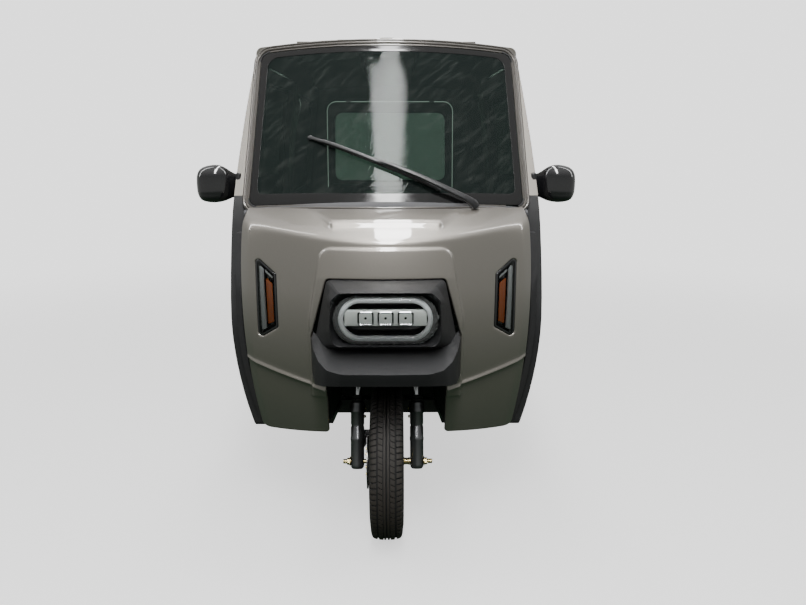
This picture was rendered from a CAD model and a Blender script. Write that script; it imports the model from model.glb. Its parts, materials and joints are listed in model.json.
import bpy, bmesh, json, math
import numpy as np
from mathutils.kdtree import KDTree
from mathutils.bvhtree import BVHTree
from mathutils import Vector, Matrix, geometry


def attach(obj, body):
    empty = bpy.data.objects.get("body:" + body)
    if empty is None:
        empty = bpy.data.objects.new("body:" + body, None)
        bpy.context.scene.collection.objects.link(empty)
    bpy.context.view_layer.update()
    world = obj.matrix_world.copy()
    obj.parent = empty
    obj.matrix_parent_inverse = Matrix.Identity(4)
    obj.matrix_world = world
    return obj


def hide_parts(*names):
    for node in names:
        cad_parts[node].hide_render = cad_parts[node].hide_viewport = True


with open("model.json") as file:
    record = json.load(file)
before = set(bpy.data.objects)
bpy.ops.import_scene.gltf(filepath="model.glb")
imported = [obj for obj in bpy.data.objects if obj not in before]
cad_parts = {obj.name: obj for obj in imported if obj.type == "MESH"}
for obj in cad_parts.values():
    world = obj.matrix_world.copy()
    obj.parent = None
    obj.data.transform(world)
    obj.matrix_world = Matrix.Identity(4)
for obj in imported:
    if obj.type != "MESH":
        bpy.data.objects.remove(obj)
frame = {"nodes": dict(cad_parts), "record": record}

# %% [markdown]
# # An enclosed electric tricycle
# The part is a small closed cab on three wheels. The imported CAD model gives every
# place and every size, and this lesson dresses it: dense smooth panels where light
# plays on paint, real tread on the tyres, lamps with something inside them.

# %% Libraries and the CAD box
scene = bpy.context.scene
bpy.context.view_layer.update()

# %% [markdown]
# ## Camera
# The picture was taken from a little above the bonnet, some 2.3 m ahead of the nose.
# Height, tilt and lens were solved from the front tyre and the horizon.

# %% Camera
camera = bpy.data.objects.new("camera", bpy.data.cameras.new("camera"))
scene.collection.objects.link(camera)
camera.data.sensor_width = 36.0
camera.data.lens = 31.27
camera.location = (0.030, -3.306, 1.357)
camera.rotation_euler = (math.radians(90 - 12.68), 0, math.radians(-0.65))
scene.camera = camera

# %% [markdown]
# ## Light
# Gloss paint shows what is around it. One long bright strip overhead gives the
# upright band on the screen and bonnet, and large dim panels shape the sides.

# %% Floor, world and lights
def area_light(name, place, aim, size, power, colour=(1, 1, 1)):
    """A rectangular lamp of size (across, along) that looks at a point."""
    data = bpy.data.lights.new(name, "AREA")
    data.shape, data.size, data.size_y = "RECTANGLE", size[0], size[1]
    data.energy, data.color = power, colour
    lamp = bpy.data.objects.new(name, data)
    lamp.location = place
    lamp.rotation_euler = (Vector(aim) - Vector(place)).to_track_quat("-Z", "Y").to_euler()
    scene.collection.objects.link(lamp)
    return lamp

floor_mesh = bpy.data.meshes.new("floor")
floor_mesh.from_pydata([(-30, -30, 0), (30, -30, 0), (30, 30, 0), (-30, 30, 0)], [], [(0, 1, 2, 3)])
floor = bpy.data.objects.new("floor", floor_mesh)
scene.collection.objects.link(floor)

world = bpy.data.worlds.new("studio")
scene.world = world
world.use_nodes = True
wn, wl = world.node_tree.nodes, world.node_tree.links
back = wn["Background"]
coord = wn.new("ShaderNodeTexCoord")
split = wn.new("ShaderNodeSeparateXYZ")
ramp = wn.new("ShaderNodeValToRGB")
sight = wn.new("ShaderNodeLightPath")
pick = wn.new("ShaderNodeMix")
pick.data_type = "RGBA"
pick.inputs["B"].default_value = (2.0, 2.0, 2.0, 1)
wl.new(coord.outputs["Generated"], split.inputs[0])
wl.new(split.outputs["Z"], ramp.inputs[0])
wl.new(ramp.outputs[0], pick.inputs["A"])
wl.new(sight.outputs["Is Camera Ray"], pick.inputs["Factor"])
wl.new(pick.outputs["Result"], back.inputs["Color"])
ramp.color_ramp.elements[0].position = 0.0
ramp.color_ramp.elements[0].color = (0.40, 0.41, 0.39, 1)
ramp.color_ramp.elements[1].position = 0.75
ramp.color_ramp.elements[1].color = (0.85, 0.85, 0.84, 1)
middle = ramp.color_ramp.elements.new(0.28)
middle.color = (0.30, 0.31, 0.30, 1)
back.inputs["Strength"].default_value = 1.0

def pale_floor():
    """Pale to the eye, darker in what the paint mirrors, and without an edge far off."""
    mat = bpy.data.materials.new("studio floor")
    mat.use_nodes = True
    n, l = mat.node_tree.nodes, mat.node_tree.links
    shader = n["Principled BSDF"]
    shader.inputs["Roughness"].default_value = 0.8
    shader.inputs["Base Color"].default_value = (0.80, 0.80, 0.80, 1)
    place = n.new("ShaderNodeTexCoord")
    far = n.new("ShaderNodeVectorMath")
    far.operation = "LENGTH"
    fade = n.new("ShaderNodeMapRange")
    fade.interpolation_type = "SMOOTHSTEP"
    fade.inputs["From Min"].default_value = 1.6
    fade.inputs["From Max"].default_value = 6.0
    fade.inputs["To Min"].default_value = 0.55
    glow = n.new("ShaderNodeEmission")
    glow.inputs["Color"].default_value = (2.0, 2.0, 2.0, 1)
    seen = n.new("ShaderNodeMixShader")
    mirrored_tone = n.new("ShaderNodeValToRGB")
    mirrored_tone.color_ramp.elements[0].position = 0.17
    mirrored_tone.color_ramp.elements[0].color = (0.040, 0.072, 0.045, 1)
    mirrored_tone.color_ramp.elements[1].position = 0.52
    mirrored_tone.color_ramp.elements[1].color = (0.42, 0.43, 0.41, 1)
    reach = n.new("ShaderNodeMath")
    reach.operation = "DIVIDE"
    reach.inputs[1].default_value = 10.0
    dim = n.new("ShaderNodeEmission")
    sight = n.new("ShaderNodeLightPath")
    mix = n.new("ShaderNodeMixShader")
    l.new(place.outputs["Object"], far.inputs[0])
    l.new(far.outputs["Value"], fade.inputs["Value"])
    l.new(far.outputs["Value"], reach.inputs[0])
    l.new(reach.outputs[0], mirrored_tone.inputs[0])
    l.new(mirrored_tone.outputs[0], dim.inputs["Color"])
    l.new(fade.outputs["Result"], seen.inputs["Fac"])
    l.new(shader.outputs[0], seen.inputs[1])
    l.new(glow.outputs[0], seen.inputs[2])
    l.new(sight.outputs["Is Camera Ray"], mix.inputs["Fac"])
    l.new(dim.outputs[0], mix.inputs[1])
    l.new(seen.outputs[0], mix.inputs[2])
    l.new(mix.outputs[0], n["Material Output"].inputs["Surface"])
    return mat

floor_mesh.materials.append(pale_floor())
area_light("overhead strip", (0.0, -5.1, 4.6), (0.0, -5.1, 0), (0.72, 4.4), 420)
area_light("rear end of the strip", (0.02, -0.9, 4.6), (0.02, -0.9, 0), (0.36, 4.0), 150)
area_light("overhead left", (-3.6, -1.0, 4.4), (0, -0.6, 0.6), (0.4, 6.0), 90)
area_light("overhead right", (3.6, -1.0, 4.4), (0, -0.6, 0.6), (0.4, 6.0), 90)
area_light("rear panel", (0.0, 6.0, 3.0), (0, 0, 0.9), (4.0, 2.5), 90)
# %% [markdown]
# ## Shader groups
# Effects that many finishes share are node groups: a moulded grain, metal flake
# and a film of dust that thickens towards the ground. A group gives only colours,
# values and normals. The shader itself stays in each material.

# %% Shader groups
def group_tree(name, inputs, outputs):
    tree = bpy.data.node_groups.new(name, "ShaderNodeTree")
    for label, kind, value in inputs:
        socket = tree.interface.new_socket(label, in_out="INPUT", socket_type=kind)
        if value is not None:
            socket.default_value = value
    for label, kind in outputs:
        tree.interface.new_socket(label, in_out="OUTPUT", socket_type=kind)
    return tree, tree.nodes.new("NodeGroupInput"), tree.nodes.new("NodeGroupOutput")

def moulded_grain():
    """A fine pebbled bump, as on moulded plastic and leathercloth."""
    tree, gi, go = group_tree("moulded grain",
        [("Scale", "NodeSocketFloat", 900.0), ("Strength", "NodeSocketFloat", 0.2),
        ("Depth", "NodeSocketFloat", 0.0004)],
        [("Normal", "NodeSocketVector"), ("Value", "NodeSocketFloat")])
    n, l = tree.nodes, tree.links
    place = n.new("ShaderNodeTexCoord")
    cells = n.new("ShaderNodeTexVoronoi")
    cells.feature = "SMOOTH_F1"
    cells.inputs["Smoothness"].default_value = 0.6
    bump = n.new("ShaderNodeBump")
    l.new(place.outputs["Object"], cells.inputs["Vector"])
    l.new(gi.outputs["Scale"], cells.inputs["Scale"])
    l.new(cells.outputs["Distance"], bump.inputs["Height"])
    l.new(gi.outputs["Strength"], bump.inputs["Strength"])
    l.new(gi.outputs["Depth"], bump.inputs["Distance"])
    l.new(bump.outputs["Normal"], go.inputs["Normal"])
    l.new(cells.outputs["Distance"], go.inputs["Value"])
    return tree

def road_dust():
    """Two tones mixed by soft noise, with more of the second low down."""
    tree, gi, go = group_tree("road dust",
        [("Clean", "NodeSocketColor", (0.1, 0.1, 0.1, 1)),
        ("Dust", "NodeSocketColor", (0.2, 0.18, 0.15, 1)),
         ("Amount", "NodeSocketFloat", 0.3), ("Top", "NodeSocketFloat", 0.6)],
        [("Color", "NodeSocketColor"), ("Mask", "NodeSocketFloat")])
    n, l = tree.nodes, tree.links
    place = n.new("ShaderNodeTexCoord")
    split = n.new("ShaderNodeSeparateXYZ")
    low = n.new("ShaderNodeMapRange")
    noise = n.new("ShaderNodeTexNoise")
    noise.inputs["Scale"].default_value = 9.0
    noise.inputs["Detail"].default_value = 6.0
    times = n.new("ShaderNodeMath")
    times.operation = "MULTIPLY"
    more = n.new("ShaderNodeMath")
    more.operation = "MULTIPLY"
    mix = n.new("ShaderNodeMix")
    mix.data_type = "RGBA"
    l.new(place.outputs["Object"], split.inputs[0])
    l.new(place.outputs["Object"], noise.inputs["Vector"])
    l.new(split.outputs["Z"], low.inputs["Value"])
    l.new(gi.outputs["Top"], low.inputs["From Min"])
    low.inputs["From Max"].default_value = 0.0
    l.new(low.outputs["Result"], times.inputs[0])
    l.new(noise.outputs["Fac"], times.inputs[1])
    l.new(times.outputs[0], more.inputs[0])
    l.new(gi.outputs["Amount"], more.inputs[1])
    l.new(more.outputs[0], mix.inputs["Factor"])
    l.new(gi.outputs["Clean"], mix.inputs["A"])
    l.new(gi.outputs["Dust"], mix.inputs["B"])
    l.new(mix.outputs["Result"], go.inputs["Color"])
    l.new(more.outputs[0], go.inputs["Mask"])
    return tree

def metal_flake():
    """Tiny facets that lighten and darken the base colour of metallic paint."""
    tree, gi, go = group_tree("metal flake",
        [("Base", "NodeSocketColor", (0.5, 0.46, 0.42, 1)),
        ("Glint", "NodeSocketColor", (0.8, 0.78, 0.74, 1)),
         ("Amount", "NodeSocketFloat", 0.35)],
        [("Color", "NodeSocketColor"), ("Normal", "NodeSocketVector")])
    n, l = tree.nodes, tree.links
    place = n.new("ShaderNodeTexCoord")
    cells = n.new("ShaderNodeTexVoronoi")
    cells.inputs["Scale"].default_value = 2600.0
    power = n.new("ShaderNodeMath")
    power.operation = "POWER"
    power.inputs[1].default_value = 3.0
    times = n.new("ShaderNodeMath")
    times.operation = "MULTIPLY"
    mix = n.new("ShaderNodeMix")
    mix.data_type = "RGBA"
    peel = n.new("ShaderNodeTexNoise")
    peel.inputs["Scale"].default_value = 160.0
    bump = n.new("ShaderNodeBump")
    bump.inputs["Strength"].default_value = 0.04
    bump.inputs["Distance"].default_value = 0.0005
    l.new(place.outputs["Object"], cells.inputs["Vector"])
    l.new(place.outputs["Object"], peel.inputs["Vector"])
    l.new(cells.outputs["Color"], power.inputs[0])
    l.new(power.outputs[0], times.inputs[0])
    l.new(gi.outputs["Amount"], times.inputs[1])
    l.new(times.outputs[0], mix.inputs["Factor"])
    l.new(gi.outputs["Base"], mix.inputs["A"])
    l.new(gi.outputs["Glint"], mix.inputs["B"])
    l.new(peel.outputs["Fac"], bump.inputs["Height"])
    l.new(mix.outputs["Result"], go.inputs["Color"])
    l.new(bump.outputs["Normal"], go.inputs["Normal"])
    return tree

GRAIN, DUST, FLAKE = moulded_grain(), road_dust(), metal_flake()
print("shader groups", [t.name for t in (GRAIN, DUST, FLAKE)])

# %% [markdown]
# ## Finishes
# Each finish is one material. Colours go through the dust or flake group, and the
# grain group gives the bump. Numbers that are the same all over stay on the shader.

# %% Finishes
def blank(name, **sockets):
    mat = bpy.data.materials.new(name)
    mat.use_nodes = True
    shader = mat.node_tree.nodes["Principled BSDF"]
    for label, value in sockets.items():
        shader.inputs[label.replace("_", " ")].default_value = value
    return mat, mat.node_tree.nodes, mat.node_tree.links, shader

def use(nodes, tree, **values):
    node = nodes.new("ShaderNodeGroup")
    node.node_tree = tree
    for label, value in values.items():
        node.inputs[label].default_value = value
    return node

def plain(name, clean, dust, rough, grain=None, amount=0.3, top=0.6, **sockets):
    """A finish with dust low down and, where grain is (scale, strength), a moulded bump."""
    mat, n, l, shader = blank(name, **sockets)
    colour = use(n, DUST, Clean=(*clean, 1), Dust=(*dust, 1), Amount=amount, Top=top)
    l.new(colour.outputs["Color"], shader.inputs["Base Color"])
    wear = n.new("ShaderNodeTexNoise")
    wear.inputs["Scale"].default_value = 34.0
    wear.inputs["Detail"].default_value = 8.0
    place = n.new("ShaderNodeTexCoord")
    spread = n.new("ShaderNodeMapRange")
    spread.inputs["To Min"].default_value = rough - 0.07
    spread.inputs["To Max"].default_value = rough + 0.09
    l.new(place.outputs["Object"], wear.inputs["Vector"])
    l.new(wear.outputs["Fac"], spread.inputs["Value"])
    l.new(spread.outputs["Result"], shader.inputs["Roughness"])
    if grain:
        bump = use(n, GRAIN, Scale=grain[0], Strength=grain[1])
        l.new(bump.outputs["Normal"], shader.inputs["Normal"])
    return mat

def metallic_paint():
    mat, n, l, shader = blank("champagne paint", Metallic=0.75, Coat_Weight=1.0, Coat_Roughness=0.03,
        Coat_IOR=1.7)
    flake = use(n, FLAKE, Base=(0.205, 0.190, 0.168, 1), Glint=(0.46, 0.43, 0.385, 1), Amount=0.38)
    dust = use(n, DUST, Dust=(0.36, 0.33, 0.28, 1), Amount=0.25, Top=0.75)
    l.new(flake.outputs["Color"], dust.inputs["Clean"])
    l.new(dust.outputs["Color"], shader.inputs["Base Color"])
    l.new(flake.outputs["Normal"], shader.inputs["Normal"])
    shader.inputs["Roughness"].default_value = 0.38
    return mat

def film_creases():
    """Stretched noise for the crinkles of a protective film stuck on glass."""
    tree, gi, go = group_tree("film creases", [("Strength", "NodeSocketFloat", 0.2)],
        [("Normal", "NodeSocketVector"), ("Mask", "NodeSocketFloat")])
    n, l = tree.nodes, tree.links
    place = n.new("ShaderNodeTexCoord")
    turn = n.new("ShaderNodeMapping")
    turn.inputs["Rotation"].default_value = (0, math.radians(-52), 0)
    draw = n.new("ShaderNodeMapping")
    draw.inputs["Scale"].default_value = (22.0, 4.0, 4.2)
    noise = n.new("ShaderNodeTexNoise")
    noise.inputs["Scale"].default_value = 3.2
    noise.inputs["Detail"].default_value = 7.0
    noise.inputs["Distortion"].default_value = 0.9
    crest = n.new("ShaderNodeMapRange")
    crest.inputs["From Min"].default_value = 0.50
    crest.inputs["From Max"].default_value = 0.74
    bump = n.new("ShaderNodeBump")
    bump.inputs["Distance"].default_value = 0.002
    l.new(place.outputs["Object"], turn.inputs["Vector"])
    l.new(turn.outputs[0], draw.inputs["Vector"])
    l.new(draw.outputs[0], noise.inputs["Vector"])
    l.new(noise.outputs["Fac"], crest.inputs["Value"])
    l.new(noise.outputs["Fac"], bump.inputs["Height"])
    l.new(gi.outputs["Strength"], bump.inputs["Strength"])
    l.new(bump.outputs[0], go.inputs["Normal"])
    l.new(crest.outputs[0], go.inputs["Mask"])
    return tree

CREASES = film_creases()

def clear(name, tint, rough=0.0, ior=1.45, seen=0.12, colour=(0.02, 0.03, 0.028), film=0.0):
    """Thin glass: mostly lets light through, with a clear gloss on top and a creased film if asked."""
    mat, n, l, shader = blank(name, IOR=ior)
    out = n["Material Output"]
    shader.inputs["Base Color"].default_value = (*colour, 1)
    shader.inputs["Roughness"].default_value = 0.02 + rough
    through = n.new("ShaderNodeBsdfTransparent")
    through.inputs["Color"].default_value = (*tint, 1)
    mix = n.new("ShaderNodeMixShader")
    edge = n.new("ShaderNodeFresnel")
    edge.inputs["IOR"].default_value = ior
    add = n.new("ShaderNodeMath")
    add.operation = "ADD"
    add.use_clamp = True
    add.inputs[1].default_value = seen
    l.new(edge.outputs[0], add.inputs[0])
    l.new(add.outputs[0], mix.inputs["Fac"])
    l.new(through.outputs[0], mix.inputs[1])
    l.new(shader.outputs[0], mix.inputs[2])
    last = mix
    if film:
        creases = use(n, CREASES, Strength=film)
        l.new(creases.outputs["Normal"], shader.inputs["Normal"])
        l.new(creases.outputs["Normal"], edge.inputs["Normal"])
        haze = n.new("ShaderNodeBsdfDiffuse")
        haze.inputs["Color"].default_value = (0.30, 0.31, 0.29, 1)
        part = n.new("ShaderNodeMath")
        part.operation = "MULTIPLY"
        part.inputs[1].default_value = 0.05
        last = n.new("ShaderNodeMixShader")
        l.new(creases.outputs["Mask"], part.inputs[0])
        l.new(part.outputs[0], last.inputs["Fac"])
        l.new(mix.outputs[0], last.inputs[1])
        l.new(haze.outputs[0], last.inputs[2])
    l.new(last.outputs[0], out.inputs["Surface"])
    return mat

PAINT = metallic_paint()
STRIP = plain("dark strip paint", (0.085, 0.078, 0.070), (0.12, 0.11, 0.10), 0.30, None, 0.2, 0.6,
    Metallic=0.5, Coat_Weight=0.8, Coat_Roughness=0.05)
TRIM = plain("matte trim", (0.011, 0.0112, 0.012), (0.035, 0.034, 0.030), 0.50, (1400, 0.22), 0.3, 0.7,
    Specular_IOR_Level=0.32)
LINER = plain("liner plastic", (0.012, 0.012, 0.013), (0.06, 0.055, 0.05), 0.75, (900, 0.3), 0.5, 0.7)
CHASSIS = plain("black underbody paint", (0.016, 0.016, 0.017), (0.11, 0.10, 0.085), 0.42, (500, 0.08),
    0.5, 0.55)
CABIN = plain("cabin plastic", (0.045, 0.046, 0.05), (0.07, 0.068, 0.065), 0.55, (1100, 0.3), 0.2)
RUBBER = plain("black rubber", (0.012, 0.012, 0.013), (0.06, 0.055, 0.05), 0.62, (1800, 0.12), 0.3)
GLOSS = plain("gloss black", (0.008, 0.008, 0.009), (0.03, 0.03, 0.03), 0.12, None, 0.2, 0.6,
    Coat_Weight=1.0, Coat_Roughness=0.03)
SATIN = plain("satin black", (0.013, 0.013, 0.014), (0.05, 0.05, 0.05), 0.34, (700, 0.05), 0.2)
STEEL = plain("satin steel", (0.16, 0.16, 0.16), (0.26, 0.24, 0.21), 0.3, (1500, 0.03), 0.4, 0.8,
    Metallic=1.0)
LEG_METAL = plain("cast fork leg", (0.16, 0.163, 0.17), (0.10, 0.095, 0.085), 0.33, (600, 0.06), 0.4, 0.8,
    Metallic=0.9)
ZINC = plain("yellow zinc", (0.62, 0.50, 0.24), (0.40, 0.34, 0.22), 0.32, (900, 0.06), 0.3, 0.8,
    Metallic=1.0)
CASTING = plain("grey casting", (0.13, 0.13, 0.135), (0.12, 0.11, 0.10), 0.6, (420, 0.4), 0.5, 0.7,
    Metallic=0.4)
WHEEL = plain("silver wheel paint", (0.36, 0.37, 0.38), (0.20, 0.18, 0.16), 0.36, (300, 0.03), 0.6, 0.6,
    Metallic=0.7)
GROOVE = plain("tyre grooves", (0.004, 0.004, 0.004), (0.012, 0.011, 0.010), 0.85, None, 0.5, 0.62)
TYRE = plain("tyre rubber", (0.012, 0.0108, 0.0095), (0.055, 0.042, 0.030), 0.72, (1500, 0.25), 0.7, 0.62)
LEATHER = plain("black leathercloth", (0.022, 0.022, 0.025), (0.05, 0.05, 0.05), 0.44, (700, 0.5), 0.15)
FRIT = plain("black glass border", (0.006, 0.006, 0.006), (0.02, 0.02, 0.02), 0.1, None, 0.1)
CASE = plain("battery case plastic", (0.055, 0.06, 0.066), (0.10, 0.095, 0.09), 0.5, (800, 0.2), 0.3)
SCREEN = clear("windscreen glass", (0.42, 0.50, 0.45), seen=0.26, film=0.16)
SIDE = clear("tinted side glass", (0.50, 0.58, 0.54), seen=0.22)
LENS = clear("clear lens", (0.97, 0.98, 0.98), seen=0.02, colour=(0.01, 0.01, 0.01))
FILM = clear("loose film", (0.95, 0.97, 0.97), rough=0.10, seen=0.07, colour=(0.45, 0.47, 0.46))
AMBER = plain("amber lens", (0.80, 0.16, 0.012), (0.5, 0.2, 0.05), 0.16, None, 0.1, 0.6, Coat_Weight=1.0)
RED = plain("red lens", (0.36, 0.008, 0.006), (0.3, 0.05, 0.03), 0.14, None, 0.1, 0.6, Coat_Weight=1.0)
CHROME = plain("vacuum chrome", (0.62, 0.63, 0.64), (0.5, 0.5, 0.5), 0.16, None, 0.1, 0.6, Metallic=1.0)
REFLECTOR = plain("mirror glass", (0.86, 0.88, 0.90), (0.6, 0.6, 0.6), 0.08, None, 0.05, 0.6,
    Metallic=1.0)
LIGHT_BAR = plain("white light guide", (0.86, 0.88, 0.89), (0.8, 0.8, 0.8), 0.3, None, 0.1, 0.6,
    Coat_Weight=0.6)
print("finishes", len(bpy.data.materials))

# %% [markdown]
# ## Meshes
# A few helpers build every piece: one turns points and faces into an object that
# rides on a body, one copies a CAD node with its points merged and its edges
# softened, and one lays a dense skin over a shape that is given by a rule.

# %% Mesh helpers
def new_object(name, mesh, material, body, node_slot=None, replaces=()):
    obj = bpy.data.objects.new(name, mesh)
    scene.collection.objects.link(obj)
    if material is not None and not mesh.materials:
        mesh.materials.append(material)
    if body is None:
        return obj
    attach(obj, body)
    if replaces:
        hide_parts(*replaces)
    return obj

def smooth_by_angle(mesh, angle=32):
    mesh.polygons.foreach_set("use_smooth", [True] * len(mesh.polygons))
    mesh.set_sharp_from_angle(angle=math.radians(angle))

def apply_modifiers(obj):
    """Bakes the modifiers of an object into its mesh."""
    graph = bpy.context.evaluated_depsgraph_get()
    done = bpy.data.meshes.new_from_object(obj.evaluated_get(graph))
    obj.modifiers.clear()
    obj.data = done
    return obj

def body_of(node):
    return next(b for b, ns in frame["record"]["behaviour"]["bodies"].items() if node in ns)

def slot_of(node):
    return next(s["material_slot"] for s in frame["record"]["subparts"] if s["node"] == node)

def merged_copy(node, split=False):
    """A copy of a CAD node's mesh with its loose triangles joined and flat areas dissolved."""
    mesh = frame["nodes"][node].data.copy()
    mesh.materials.clear()
    bm = bmesh.new()
    bm.from_mesh(mesh)
    bmesh.ops.remove_doubles(bm, verts=bm.verts, dist=2e-5)
    bmesh.ops.dissolve_limit(bm, angle_limit=math.radians(0.6), verts=bm.verts, edges=bm.edges)
    bm.to_mesh(mesh)
    bm.free()
    return mesh

def dress(node, material, bevel=0.0012, angle=34):
    """Replaces a CAD node by its own shape with soft edges and true smooth shading."""
    mesh = merged_copy(node)
    obj = new_object("dressed_" + node, mesh, material, body_of(node))
    if bevel:
        mod = obj.modifiers.new("soft edges", "BEVEL")
        mod.width, mod.segments, mod.limit_method = bevel, 2, "ANGLE"
        mod.angle_limit, mod.use_clamp_overlap = math.radians(38), True
        apply_modifiers(obj)
    smooth_by_angle(obj.data, angle)
    mod = obj.modifiers.new("even shading", "WEIGHTED_NORMAL")
    mod.keep_sharp = True
    apply_modifiers(obj)
    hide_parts(node)
    return obj

def signed_distance(points, loops):
    """Distance of 2-D points to closed outlines, negative inside (even-odd)."""
    best = np.full(len(points), 1e9)
    inside = np.zeros(len(points), bool)
    for loop in loops:
        a = np.asarray(loop, float)
        b = np.roll(a, -1, axis=0)
        for p, q in zip(a, b):
            d = q - p
            t = np.clip(((points - p) @ d) / max(d @ d, 1e-18), 0, 1)
            best = np.minimum(best, np.hypot(*(points - p - t[:, None] * d).T))
            cross = (p[1] > points[:, 1]) != (q[1] > points[:, 1])
            if cross.any():
                x = p[0] + (points[:, 1] - p[1]) * d[0] / (d[1] if abs(d[1]) > 1e-12 else 1e-12)
                inside ^= cross & (points[:, 0] < x)
    return np.where(inside, -best, best)

def resample(loop, step):
    out = []
    for p, q in zip(loop, loop[1:] + loop[:1]):
        n = max(1, math.ceil(math.dist(p, q) / step))
        out += [(p[0] + (q[0] - p[0]) * i / n, p[1] + (q[1] - p[1]) * i / n) for i in range(n)]
    return out

def rounded(rows):
    """Outline points from rows of (across, up, corner radius), in millimetres, given in metres."""
    pts = []
    n = len(rows)
    for i, (bx, by, r) in enumerate(rows):
        a, b, c = Vector(rows[i - 1][:2]), Vector((bx, by)), Vector(rows[(i + 1) % n][:2])
        u, v = (a - b).normalized(), (c - b).normalized()
        half = math.acos(max(-1, min(1, u.dot(v)))) / 2
        if r <= 0 or half > math.radians(89):
            pts.append(b / 1000)
            continue
        r = min(r, 0.48 * min((a - b).length, (c - b).length) * math.tan(half))
        mid = (u + v).normalized()
        centre = b + mid * (r / math.sin(half))
        p, q = b + u * (r / math.tan(half)) - centre, b + v * (r / math.tan(half)) - centre
        start = math.atan2(p.y, p.x)
        sweep = (math.atan2(q.y, q.x) - start + math.pi * 3) % (2 * math.pi) - math.pi
        steps = max(2, math.ceil(abs(sweep) / math.radians(9)))
        pts += [(centre + r * Vector((math.cos(start + sweep * k / steps),
            math.sin(start + sweep * k / steps)))) / 1000
                for k in range(steps + 1)]
    return [(p[0], p[1]) for p in pts]

def guide_rows(path, offsets, spacing=0.005):
    """Rows of points beside a path, so that a crease gets edges that run along it."""
    a = np.asarray(resample(list(path), spacing))
    d = np.gradient(a, axis=0)
    side = np.stack([-d[:, 1], d[:, 0]], 1) / np.maximum(np.hypot(*d.T), 1e-9)[:, None]
    return np.vstack([a + side * off for off in offsets])

def clear_of(points, others, distance):
    """The points that are farther than distance from every one of the others."""
    tree = KDTree(len(others))
    for i, (u, v) in enumerate(others):
        tree.insert((u, v, 0), i)
    tree.balance()
    return points[np.array([tree.find((u, v, 0))[2] > distance for u, v in points], bool)]

def skin_mesh(name, loops, surface, thick, roll=0.004, step=0.010, guides=()):
    """A dense panel over surface(u, v) -> (points, normals), with rolled edges and a thickness."""
    loops = [resample(list(loop), step * 0.5) for loop in loops]
    points, edges = [], []
    for loop in loops:
        first = len(points)
        points += loop
        edges += [(first + i, first + (i + 1) % len(loop)) for i in range(len(loop))]
    rings = [roll * f for f in (0.12, 0.35, 0.7, 1.1)]
    extra = []
    for loop in loops:
        a = np.asarray(loop)
        d = np.roll(a, -1, axis=0) - np.roll(a, 1, axis=0)
        nrm = np.stack([-d[:, 1], d[:, 0]], 1) / np.maximum(np.hypot(*d.T), 1e-9)[:, None]
        for k, ring in enumerate(rings):
            for side in (1, -1):
                extra.append((a + nrm * ring * side, ring))
    lo, hi = np.min(points, axis=0), np.max(points, axis=0)
    gx, gy = np.meshgrid(np.arange(lo[0], hi[0], step), np.arange(lo[1], hi[1], step * 0.866))
    gx[1::2] += step / 2
    grid = np.stack([gx.ravel(), gy.ravel()], 1)
    grid = grid[signed_distance(grid, loops) < -(rings[-1] + step * 0.45)]
    kept = [grid]
    if len(guides):
        rows = np.vstack(guides)
        rows = rows[signed_distance(rows, loops) < -(rings[-1] + 0.002)]
        kept = [clear_of(grid, rows, 0.0045), rows]
    for pts, ring in extra:
        sd = signed_distance(pts, loops)
        kept.append(pts[(sd < -ring * 0.97)])
    every = np.vstack([np.asarray(points)] + kept)
    vs, _, fs, *_ = geometry.delaunay_2d_cdt([Vector(p) for p in every], edges, [], 0, 1e-6)
    uv = np.array([tuple(v) for v in vs])
    tri = np.array([f for f in fs if len(f) == 3])
    tri = tri[signed_distance(uv[tri].mean(axis=1), loops) < 0]
    sd = np.minimum(0, signed_distance(uv, loops))
    place, normal = surface(uv[:, 0], uv[:, 1])
    gap = np.clip(roll + sd, 0, roll)
    drop = roll - np.sqrt(np.maximum(roll ** 2 - gap ** 2, 0))
    place = place - normal * drop[:, None]
    flip = np.einsum("ij,ij->i", np.cross(place[tri[:, 1]] - place[tri[:, 0]],
        place[tri[:, 2]] - place[tri[:, 0]]), normal[tri[:, 0]])
    if np.median(flip) < 0:
        tri = tri[:, ::-1]
    mesh = bpy.data.meshes.new(name)
    mesh.from_pydata(place.tolist(), [], tri.tolist())
    bm = bmesh.new()
    bm.from_mesh(mesh)
    bmesh.ops.delete(bm, geom=[v for v in bm.verts if not v.link_faces], context="VERTS")
    bm.to_mesh(mesh)
    bm.free()
    return mesh

def skin(name, loops, surface, thick, material, body, roll=0.004, step=0.010, angle=50, guides=(), **kw):
    mesh = skin_mesh(name, loops, surface, thick, roll, step, guides)
    obj = new_object(name, mesh, material, body, **kw)
    mod = obj.modifiers.new("thickness", "SOLIDIFY")
    mod.thickness, mod.offset, mod.use_rim = thick, -1, True
    apply_modifiers(obj)
    smooth_by_angle(obj.data, angle)
    print(name, len(obj.data.polygons), "faces")
    return obj

# %% [markdown]
# ## Shape rules
# The same rules as in the CAD source, in metres: the body side, the fascia as a ring
# about an upright axis, the bonnet plane and the frame of the raked windscreen.

# %% Shape rules
def side_x(z):
    """Half width of the body at a height."""
    z = np.asarray(z, float)
    high = 0.55 - 5.6 + np.sqrt(5.6 ** 2 - (z - 0.76) ** 2)
    low = 0.55 - 1.5 + np.sqrt(np.maximum(1.5 ** 2 - (z - 0.76) ** 2, 0))
    return np.where(z > 0.76, high, low)

def fascia_edge(z):
    return 0.497 - 3.3 + np.sqrt(3.3 ** 2 - (np.asarray(z, float) - 0.83) ** 2)

def soft_max(a, b, k):
    return (a + b + np.sqrt((a - b) ** 2 + k * k)) / 2

def soft_min(a, b, k):
    return -soft_max(-a, -b, k)

def ease(t):
    t = np.clip(t, 0, 1)
    return t * t * (3 - 2 * t)

SCREEN_ORIGIN = np.array([0, -0.930, 1.156])
SCREEN_UP = np.array([0, math.sin(math.radians(24)), math.cos(math.radians(24))])
SCREEN_OUT = np.array([0, -math.cos(math.radians(24)), math.sin(math.radians(24))])

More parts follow.
